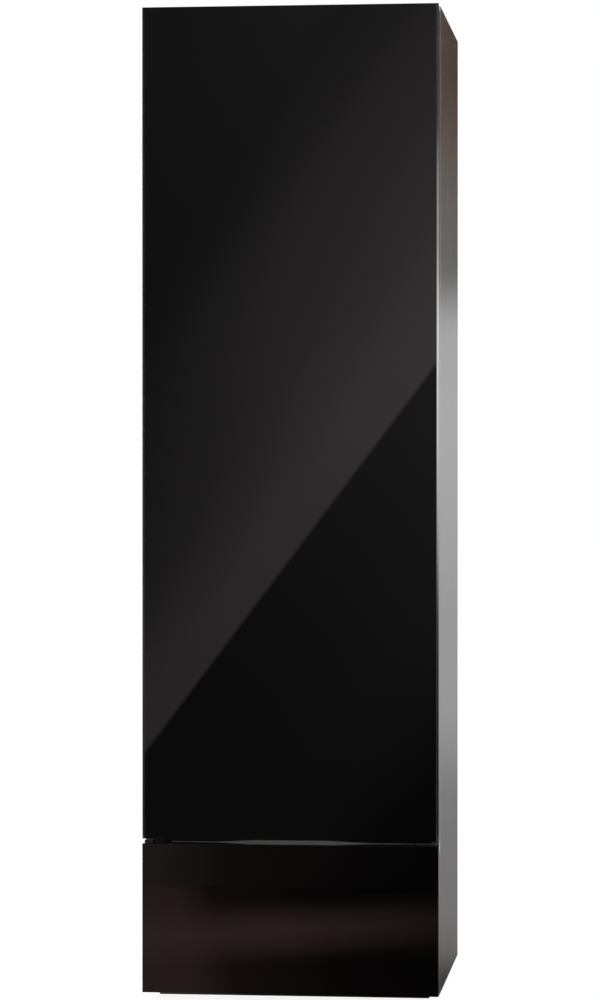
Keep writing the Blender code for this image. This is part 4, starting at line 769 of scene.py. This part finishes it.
# Rear
# Pan-head screws hold the rear panel and the inlet's plate. Pressed hoods cover the vents, and
# three blades stand in the mains inlet.
HEAD_OUTLINE = [(0, 1.7), (1.2, 1.65), (2.4, 1.35), (3.3, 0.8), (3.7, 0.2), (3.7, -0.4), (0, -0.4)]
RECESS_LOW, RECESS_HIGH = Vector((-2.2, -0.45, 0.7)) * MM, Vector((2.2, 0.45, 2.2)) * MM


def carve(piece, tool, operation="DIFFERENCE"):
    """Takes a tool's shape out of a piece, or adds it, and removes the tool."""
    apply_modifier(piece, "BOOLEAN", operation=operation, object=tool, solver="EXACT")
    bpy.data.objects.remove(tool)


def screws(name, places, outwards):
    """Chromed pan-head screws with a cross recess, at places on one face."""
    head = spun("head", HEAD_OUTLINE, (0, 0, 0), steps=20)
    for turn in (0, math.pi / 2):
        recess = new_block("recess", RECESS_LOW, RECESS_HIGH)
        recess.data.transform(Matrix.Rotation(turn, 4, "Z"))
        carve(head, recess)
    aim = Vector(outwards).to_track_quat("Z", "Y").to_matrix().to_4x4()
    made = repeat(name, head, [Matrix.Translation(place) @ aim for place in places])
    fit(made, chrome, "cabinet", "chrome")


SCREW_INSET = 9 * MM
low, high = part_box("rear_panel")
rear_face = low.y + SHEET
edge_x = high.x - SCREW_INSET
rear_places = [(x, rear_face, z * MM) for x in (-edge_x, edge_x) for z in range(360, 1960, 260)]
rear_places += [(x * MM, rear_face, high.z - SCREW_INSET) for x in (-200, -70, 70, 200)]
rear_places += [(x * MM, rear_face, 41 * MM) for x in (-130, 0, 130, 260)]
rear_places.append((edge_x, rear_face, 200 * MM))
screws("rear_screws", rear_places, BACKWARDS)
low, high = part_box("mains_inlet")
plate_x = (low.x + SCREW_INSET, high.x - 12 * MM)
plate_places = [(x, high.y, z) for x in plate_x for z in (50 * MM, 138 * MM)]
screws("inlet_screws", plate_places, BACKWARDS)

VENT_HALF, VENT_REACH = 57 * MM, 5 * MM
vent_low = (-VENT_HALF, rear_face - SINK, 4 * MM)
vent_high = (VENT_HALF, rear_face + VENT_REACH, 9 * MM)
vent_hood = new_hood("vent_hood", vent_low, vent_high, vent_high[1], 3.4 * MM, 0.7 * MM)
vent_places = [(x * MM, 0, z * MM) for x in (-190, 190) for z in range(165, 285, 15)]
fit(repeat("vent_hoods", vent_hood, vent_places), zinc, "cabinet", "galvanised_steel")

blade = new_block("blade", (-MM, 283.5 * MM, -3 * MM), (MM, 297 * MM, 3 * MM), 0.5 * MM)
blade_places = [(x * MM, 0, z * MM) for x, z in ((-220, 104), (-210, 109), (-200, 104))]
fit(repeat("inlet_blades", blade, blade_places), chrome, "cabinet", "chrome")


# Tank drawer
# A galvanised box on full runners holds a blow-moulded water tank with a push-on lid. The front is
# black glass bonded to a brushed steel shell, with a rubber buffer under the door's free corner.
RIM_HALF = 240.6 * MM
low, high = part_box("drawer_box")
front, rear = low.y + MM, high.y - MM
rim = [(-RIM_HALF, front), (RIM_HALF, front), (RIM_HALF, rear), (-RIM_HALF, rear)]
rim_route = [(x, y, high.z) for x, y in [*rim, rim[0]]]
rolled_rim = new_wire("rolled_rim", rim_route, 1.8 * MM, 4 * MM)
fit(rolled_rim, zinc, "drawer", "galvanised_steel")

corner_low, corner_high = (-294 * MM, -303 * MM, 299.8 * MM), (-276 * MM, -272 * MM, 322 * MM)
corner_buffer = new_block("corner_buffer", corner_low, corner_high, 2 * MM, 3)
fit(corner_buffer, tape_rubber, "drawer", "grey_rubber")

# Blow-moulded polyethylene: pale blue-grey and waxy, with a soft uneven grain.
tank_pe = moulded("blow_moulded_polyethylene", "#B4C2CA", 0.32, 1.6 * MM, 0.1)
TANK_WALL = 2.5 * MM
low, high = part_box("condensate_tank")
tank = new_block("water_tank", low, high)
pick(tank, "FACE", lambda face: face.normal.z > 0.9)
bpy.ops.mesh.inset(thickness=TANK_WALL, depth=0)
hollow = (0, 0, low.z + TANK_WALL - high.z)
bpy.ops.mesh.extrude_region_move(TRANSFORM_OT_translate={"value": hollow})
round_edges(tank, 1.1 * MM, 3)
fit(tank, tank_pe, "drawer", "tank_plastic", "condensate_tank")

SKIRT_INSET, SKIRT_HALF = 3.2 * MM, 1.2 * MM
GRIP_OFFSET = 150 * MM
GRIP_LOW, GRIP_HIGH = Vector((-36, -7, -1)) * MM, Vector((36, 7, 7)) * MM
COLLAR_OUTLINE = [
    (16, -3), (16, 1.6), (16.8, 2.4), (18.2, 2.4), (19, 1.6), (19.4, -0.4), (19.4, -3), (16, -3),
]
low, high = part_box("tank_lid")
lid = new_block("lid", (low.x, low.y, high.z - 3 * MM), high)
spout = (0, (low.y + high.y) / 2, high.z)
spout_cutter = new_piece(
    "spout_cutter", bpy.ops.mesh.primitive_cylinder_add, vertices=48, radius=16 * MM,
    depth=20 * MM, location=spout,
)
carve(lid, spout_cutter)
round_edges(lid, 0.9 * MM)
lid_pieces = [lid, spun("collar", COLLAR_OUTLINE, spout)]
x, y = (low.x + SKIRT_INSET, high.x - SKIRT_INSET), (low.y + SKIRT_INSET, high.y - SKIRT_INSET)
corners = [(x[0], y[0]), (x[1], y[0]), (x[1], y[1]), (x[0], y[1])]
for first, second in zip(corners, corners[1:] + corners[:1]):
    skirt_low = [min(pair) - SKIRT_HALF for pair in zip(first, second)]
    skirt_high = [max(pair) + SKIRT_HALF for pair in zip(first, second)]
    ends = (*skirt_low, low.z), (*skirt_high, high.z - 2 * MM)
    lid_pieces.append(new_block("skirt", *ends, 0.5 * MM))
for offset in (-GRIP_OFFSET, GRIP_OFFSET):
    grip_foot = Vector((offset, spout[1], high.z))
    grip = new_block("grip", grip_foot + GRIP_LOW, grip_foot + GRIP_HIGH, 4 * MM, 4)
    lid_pieces.append(grip)
fit(join("push_on_lid", lid_pieces), grey_pp, "tank_lid_body", "grey_plastic", "tank_lid")


# Glass fronts
# 5 mm float glass, bonded to the steel behind it. On the door it lies between two polished steel
# strips that slope back from it, capped with black plastic below.

# Glass enamelled black on its back: a dark mirror, with a faint change of gloss from wiping.
black_glass = new_material("black_enamelled_glass", "#030303", 0.008)
wipe = add(black_glass, "Mapping", spot(black_glass), Scale=(1 / (220 * MM), 1, 1 / (90 * MM)))
wiped = add(black_glass, "TexNoise", wipe, Scale=1, Detail=3)
wiped_gloss = add(black_glass, "MapRange", wiped, To_Min=0.004, To_Max=0.012)
feed(black_glass, IOR=1.5, Roughness=wiped_gloss)

# Polished stainless: a thin bright line beside the glass, a little uneven from buffing.
trim_steel = new_material("polished_stainless_trim", "#CFCFCD", 0.08, 1)
patchy(trim_steel, 12 * MM, 0.06, 0.1)

low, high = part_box("drawer_glass")
pane = new_block("drawer_pane", low, high, 0.8 * MM)
fit(pane, black_glass, "drawer", "black_glass", "drawer_glass")

TRIM, TRIM_GAP, CAP = 4 * MM, 0.1 * MM, 7 * MM
SET_BACK = 0.2 * MM
FALL = 0.84 * TRIM
low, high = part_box("door_glass")
pane_ends = (low.x + TRIM, low.y, low.z), (high.x - TRIM, high.y, high.z)
pane = new_block("door_pane", *pane_ends, 0.6 * MM)
fit(pane, black_glass, "door", "black_glass", "door_glass")
trims, caps = [], []
for outer, inner in ((low.x, low.x + TRIM - TRIM_GAP), (high.x, high.x - TRIM + TRIM_GAP)):
    for group, start, end in ((caps, low.z, low.z + CAP), (trims, low.z + CAP, high.z)):
        section = [
            (inner, low.y + SET_BACK, start), (outer, low.y + SET_BACK + FALL, start),
            (outer, high.y, start), (inner, high.y, start),
        ]
        group.append(round_edges(extruded("strip", section, end - start), 0.03 * MM))
fit(join("door_trims", trims), trim_steel, "door", "brushed_steel")
fit(join("trim_caps", caps), black_abs, "door", "black_plastic")


# Door
# A steel frame behind the glass, a white formed panel with a raised middle, a bellows gasket with
# a magnet strip, and two hinge plates screwed to the cabinet, with blackened steel pins.
FIELD_HALF, FIELD_LOW, FIELD_HIGH = 226 * MM, 383 * MM, 1864.4 * MM
FIELD_SLOPE = (0.965, 1, 0.99)
FORMED_WELD = 0.02 * MM
low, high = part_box("door_inner_panel")
sheet = new_block("formed_panel", low, (high.x, low.y + 3 * MM, high.z))
field_low = (-FIELD_HALF, low.y + 1.5 * MM, FIELD_LOW)
field = new_block("field", field_low, (FIELD_HALF, high.y, FIELD_HIGH))
pick(field, "FACE", lambda face: face.normal.y > 0.9)
field_middle = (0, high.y, (FIELD_LOW + FIELD_HIGH) / 2)
bpy.ops.transform.resize(value=FIELD_SLOPE, center_override=field_middle)
bpy.ops.mesh.inset(thickness=26 * MM, depth=0)
bpy.ops.mesh.inset(thickness=6 * MM, depth=-4 * MM)
round_edges(field, 5 * MM, 4, 20)
carve(sheet, field, "UNION")
bpy.ops.object.mode_set(mode="EDIT")
bpy.ops.mesh.select_all(action="SELECT")
bpy.ops.mesh.dissolve_degenerate(threshold=FORMED_WELD)
close_up(sheet, FORMED_WELD)
fit(sheet, white_abs, "door", "white_plastic", "door_inner_panel")

BELLOWS = (
    (0.3, 1.6), (0.9, -0.5), (0.6, 0.6), (0.5, 1.6), (0.6, 0.9), (8.2, 0), (0.6, -0.9),
    (0.5, -1.6), (0.6, -0.6), (0.9, 0.5), (0.3, -1.6),
)
low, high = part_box("door_gasket")
gasket = new_piece(
    "bellows_gasket", bpy.ops.mesh.primitive_plane_add, (high.x - low.x, high.z - low.z, 1),
    size=1, location=((low.x + high.x) / 2, low.y, (low.z + high.z) / 2),
    rotation=(-math.pi / 2, 0, 0),
)
pick(gasket, "FACE", lambda face: True)
for width, rise in BELLOWS:
    bpy.ops.mesh.inset(thickness=width * MM, depth=rise * MM)
bpy.ops.mesh.delete(type="ONLY_FACE")
apply_modifier(gasket, "SOLIDIFY", thickness=0.5 * MM, offset=-1)

# Soft PVC: mid grey and matt, with a shallow grain from the extruder.
gasket_rubber = moulded("magnetic_gasket_pvc", "#77797B", 0.6, 1.5 * MM, 0.1)
fit(close_up(gasket), gasket_rubber, "door", "grey_rubber", "door_gasket")

# Black oxide on steel: dark with a dull metal shine, cloudy over 6 mm.
oxide = new_material("black_oxide_steel", "#303134", 0.36, 1)
patchy(oxide, 6 * MM, 0.3, 0.46)
dress(oxide, "upper_hinge_pin", "lower_hinge_pin")
low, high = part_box("upper_hinge")
hinge_x = (low.x + 9 * MM, low.x + 24 * MM)
hinge_places = [(x, y, high.z) for x in hinge_x for y in (-222 * MM, -208 * MM)]
screws("hinge_screws", hinge_places, (0, 0, 1))


# Studio
# A pale floor and a white surround, soft lamps, and dark and grey cards out of the camera's sight
# that the glass and the steel mirror.
scene = bpy.context.scene
camera_data = bpy.data.cameras.new("camera")
camera = bpy.data.objects.new("camera", camera_data)
scene.collection.objects.link(camera)
scene.camera = camera
camera_data.lens = 122.7
camera.location = (0.7565, -7.0632, 1.0473)
camera.rotation_euler = (math.radians(89.637), 0, math.radians(6.218))
scene.view_settings.view_transform = "Standard"


def is_seen(material):
    """1 for what the camera, mirrors and glass look at, and 0 for the light on dull things."""
    rays = add(material, "LightPath").outputs
    seen = rays["Is Camera Ray"]
    for ray in ("Is Glossy Ray", "Is Transmission Ray"):
        seen = add(material, "Math", seen, rays[ray], operation="MAXIMUM")
    return seen


WHITE = (1, 1, 1, 1)
world = bpy.data.worlds.new("studio")
scene.world = world
world.use_nodes = True
level = add(world, "MapRange", is_seen(world), To_Min=0.55, To_Max=1)
feed(world, "Background", Strength=level, Color=WHITE)

# White studio paint: the floor keeps its shadows, and shows white where the camera sees it.
floor = new_piece("studio_floor", bpy.ops.mesh.primitive_plane_add, size=90)
floor_paint = new_material("white_studio_floor", "#F0F0F0", 0.9)
floor_share = add(floor_paint, "Math", is_seen(floor_paint), 0.7, operation="MULTIPLY")
floor_shader = floor_paint.node_tree.nodes["Principled BSDF"]
floor_glow = add(floor_paint, "Emission", Color=WHITE, Strength=1.27)
floor_mix = add(floor_paint, "MixShader", floor_share, floor_shader, floor_glow)
feed(floor_paint, "Material Output", Surface=floor_mix)
floor.data.materials.append(floor_paint)


def lamp(name, place, power):
    """A soft square lamp turned to the cabinet's middle, which the mirrors don't see."""
    light = bpy.data.lights.new(name, "AREA")
    light.size = 2.4
    light.energy = power
    made = bpy.data.objects.new(name, light)
    made.location = place
    aim = Vector((0, 0, 1)) - Vector(place)
    made.rotation_euler = aim.to_track_quat("-Z", "Y").to_euler()
    made.visible_glossy = False
    scene.collection.objects.link(made)


lamp("key_lamp", (-3.2, -4.2, 3.6), 90)
lamp("fill_lamp", (3.6, -3.4, 2.4), 45)
lamp("rear_lamp", (1.5, 4.5, 3.4), 50)


LYING, FACING, SIDEWAYS = (0, 0, 0), (math.pi / 2, 0, 0), (math.pi / 2, 0, math.pi / 2)
JUST_UP = 0.002


def card(name, place, size, rotation):
    """A card that only mirrors see, with its pattern on Object coordinates."""
    made = new_piece(
        name, bpy.ops.mesh.primitive_plane_add, (*size, 1), size=1, location=place,
        rotation=rotation,
    )
    made.visible_camera = made.visible_diffuse = made.visible_shadow = False
    made.visible_transmission = made.visible_volume_scatter = False
    paint = new_material(name, "#000000", 1)
    feed(paint, "Material Output", Surface=add(paint, "Emission", name="glow"))
    made.data.materials.append(paint)
    return paint


def tones(*stops):
    """Ramp stops of light, each with its place and one strength or red, green and blue."""
    return [(place, (*light * (3 // len(light)), 1)) for place, *light in stops]


# The front card is lighter above a diagonal edge, brightest along it and towards the right, and
# has a warm glow at the left of its foot.
front_paint = card("front_card", (-0.21, -2.2, 1.25), (0.88, 2.5), FACING)
EDGE_FOOT = Vector((-0.5856, 0, 0.345))
EDGE_ALONG = Vector((0.602, 0, 0.799))
EDGE_ACROSS = Vector((-0.799, 0, 0.602))
CARD_SCALE = 1.28
reaches = []
for direction in (EDGE_ACROSS, EDGE_ALONG):
    reach = add(front_paint, "VectorMath", spot(front_paint), direction, operation="DOT_PRODUCT")
    start = EDGE_FOOT.dot(direction)
    reach = add(front_paint, "Math", reach.outputs["Value"], start, operation="SUBTRACT")
    reaches.append(add(front_paint, "Math", reach, CARD_SCALE, operation="DIVIDE"))
across, along = reaches
along_part = add(front_paint, "Math", along, 1.5, operation="DIVIDE")
above_stops = tones(
    (0, 1), (0.06, 0.99), (0.1, 0.9), (0.15, 0.76), (0.215, 0.62), (0.285, 0.54), (0.36, 0.47),
    (0.43, 0.38), (0.49, 0.27), (0.56, 0.226), (0.65, 0.235), (0.75, 0.244), (0.87, 0.238),
)
above_shares = tones(
    (0, 0.455), (0.13, 0.47), (0.27, 0.52), (0.4, 0.61), (0.53, 0.745), (0.67, 0.83), (0.8, 0.9),
    (1, 0.95),
)
below_stops = tones(
    (0, 0.87), (0.12, 0.9), (0.28, 1), (0.36, 0.93), (0.44, 0.62), (0.5, 0.42), (0.6, 0.25)
)
below_shares = tones(
    (0, 0.08), (0.13, 0.08), (0.27, 0.115), (0.4, 0.165), (0.53, 0.23), (0.67, 0.28)
)
above = add(front_paint, "ValToRGB", across, stops=above_stops)
above_share = add(front_paint, "ValToRGB", along_part, stops=above_shares)
downwards = add(front_paint, "Math", across, -1, operation="MULTIPLY")
below = add(front_paint, "ValToRGB", downwards, stops=below_stops)
below_share = add(front_paint, "ValToRGB", along_part, stops=below_shares)
x, _, z = add(front_paint, "SeparateXYZ", spot(front_paint)).outputs
left_share = add(front_paint, "MapRange", x, From_Min=-0.57, From_Max=-0.2, To_Min=0.74)
off_edge = add(front_paint, "MapRange", across, From_Min=0.06, From_Max=0.2)
left_dim = add(front_paint, "Mix", off_edge, None, 1, left_share)
upper = add(front_paint, "Math", above, above_share, operation="MULTIPLY")
upper = add(front_paint, "Math", upper, left_dim, operation="MULTIPLY")
lower = add(front_paint, "Math", below, below_share, operation="MULTIPLY")
side_of_edge = add(front_paint, "MapRange", across, From_Min=-0.004, From_Max=0.004)
mixed = add(front_paint, "Mix", side_of_edge, None, lower, upper)
low_down = add(front_paint, "MapRange", z, From_Min=0.124, From_Max=0.112)
far_left = add(front_paint, "MapRange", x, From_Min=-0.36, From_Max=-0.56, To_Max=0.2)
low_glow = add(front_paint, "Math", low_down, far_left, operation="MULTIPLY")
front_tints = tones((0, 1, 0.91, 0.95), (1, 1, 0.72, 0.68))
feed(
    front_paint, "glow",
    Strength=add(front_paint, "Math", mixed, low_glow, operation="ADD"),
    Color=add(front_paint, "ValToRGB", low_down, stops=front_tints),
)

# The floor card is dark, with a warm glow at the left and a soft warm band across it.
ground_paint = card("floor_card", (-0.15, -1.217, JUST_UP), (1.0, 1.966), LYING)
x, y, _ = add(ground_paint, "SeparateXYZ", spot(ground_paint)).outputs
slant = add(ground_paint, "Math", y, -0.17, -0.085, operation="MULTIPLY_ADD")
leaning_x = add(ground_paint, "Math", x, slant, operation="ADD")
left_span = add(ground_paint, "MapRange", leaning_x, From_Min=-0.6, From_Max=0.4)
glow_stops = tones(
    (0, 0.05), (0.15, 0.1), (0.26, 0.42), (0.38, 0.39), (0.47, 0.13), (0.62, 0.085),
    (0.72, 0.035), (0.9, 0.02), (1, 0.015),
)
band_shares = tones(
    (0.2, 0.14), (0.38, 0.18), (0.48, 0.42), (0.62, 0.44), (0.72, 0.4), (0.86, 0.3), (1, 0.2)
)
band_stops = tones((0, 0), (0.12, 0.1), (0.32, 0.6), (0.52, 1), (0.72, 0.6), (0.9, 0.08), (1, 0))
left_glow = add(ground_paint, "ValToRGB", left_span, stops=glow_stops)
band_share = add(ground_paint, "ValToRGB", left_span, stops=band_shares)
band_lean = add(ground_paint, "Math", x, 0.56, 0.073, operation="MULTIPLY_ADD")
leaning_y = add(ground_paint, "Math", y, band_lean, operation="ADD")
band_span = add(ground_paint, "MapRange", leaning_y, From_Min=-2.062, From_Max=-0.747)
band = add(ground_paint, "ValToRGB", band_span, stops=band_stops)
far_share = add(ground_paint, "MapRange", y, From_Min=-2.15, From_Max=-1.75, To_Min=0.88)
left_light = add(ground_paint, "Math", left_glow, far_share, operation="MULTIPLY")
band_light = add(ground_paint, "Math", band, band_share, operation="MULTIPLY")
ground_light = add(ground_paint, "Math", left_light, band_light, operation="ADD")
feed(ground_paint, "glow", Strength=ground_light, Color=(1.0, 0.58, 0.56, 1.0))


def shade_along(paint, axis, start, end, stops):
    """Colours a card by ramp stops along one axis."""
    place = add(paint, "SeparateXYZ", spot(paint)).outputs[axis]
    span = add(paint, "MapRange", place, From_Min=start, From_Max=end)
    feed(paint, "glow", Color=add(paint, "ValToRGB", span, stops=stops))


# The side card stands behind on the right: bright at half height, dim and warm above. The floor
# before it darkens towards the cabinet.
SIDE_TONES = tones(
    (0, 0.22, 0.213, 0.216), (0.07, 0.24, 0.236, 0.24), (0.11, 0.35, 0.346, 0.35),
    (0.155, 0.42, 0.418, 0.42), (0.25, 0.415, 0.413, 0.416), (0.34, 0.475, 0.473, 0.48),
    (0.47, 0.55, 0.548, 0.575), (0.59, 0.53, 0.53, 0.535), (0.65, 0.118, 0.115, 0.112),
    (0.73, 0.128, 0.112, 0.099), (0.81, 0.085, 0.05, 0.03), (0.88, 0.035, 0.01, 0),
    (1, 0.06, 0.03, 0.012),
)
SIDE_FLOOR_TONES = tones(
    (0, 0.02, 0.016, 0.016), (0.1, 0.06, 0.05, 0.05), (0.25, 0.19, 0.17, 0.172),
    (0.45, 0.225, 0.21, 0.216), (1, 0.225, 0.218, 0.216),
)
side_paint = card("side_card", (1.1, 2.6, 1.75), (1.7, 3.5), FACING)
shade_along(side_paint, "Z", 0, 2.5, SIDE_TONES)
side_floor = card("side_floor_card", (1.1, 1.2, JUST_UP), (1.7, 2.8), LYING)
shade_along(side_floor, "Y", -0.2, 2.6, SIDE_FLOOR_TONES)

# Two end cards close the sides: a soft bright window at the right, a dim wall at the left.
RIGHT_TONES = tones(
    (0, 0.01), (0.1, 0.02), (0.2, 0.04), (0.27, 0.08), (0.35, 0.4), (0.47, 0.85), (0.6, 1),
    (0.68, 0.5), (0.77, 0.36), (0.83, 0.08), (1, 0.06),
)
LEFT_TONES = tones(
    (0, 0.01), (0.12, 0.025), (0.2, 0.04), (0.5, 0.04), (0.68, 0.025), (0.85, 0.012), (1, 0.008)
)
for name, x, (near_y, far_y), floor_y, stops in (
    ("right_card", 3.4, (-1.9, 2.3), -1.0, RIGHT_TONES),
    ("left_card", -3.4, (-1.9, -0.1), -0.4, LEFT_TONES),
):
    end_paint = card(name, (x, (near_y + far_y) / 2, 1.3), (far_y - near_y, 2.6), SIDEWAYS)
    shade_along(end_paint, "Z", 0, 2.5, stops)
    end_floor = card(name + "_floor", (x * 0.84, floor_y, JUST_UP), (1.1, 1.2), LYING)
    feed(end_floor, "glow", Color=(0.02, 0.02, 0.02, 1.0))
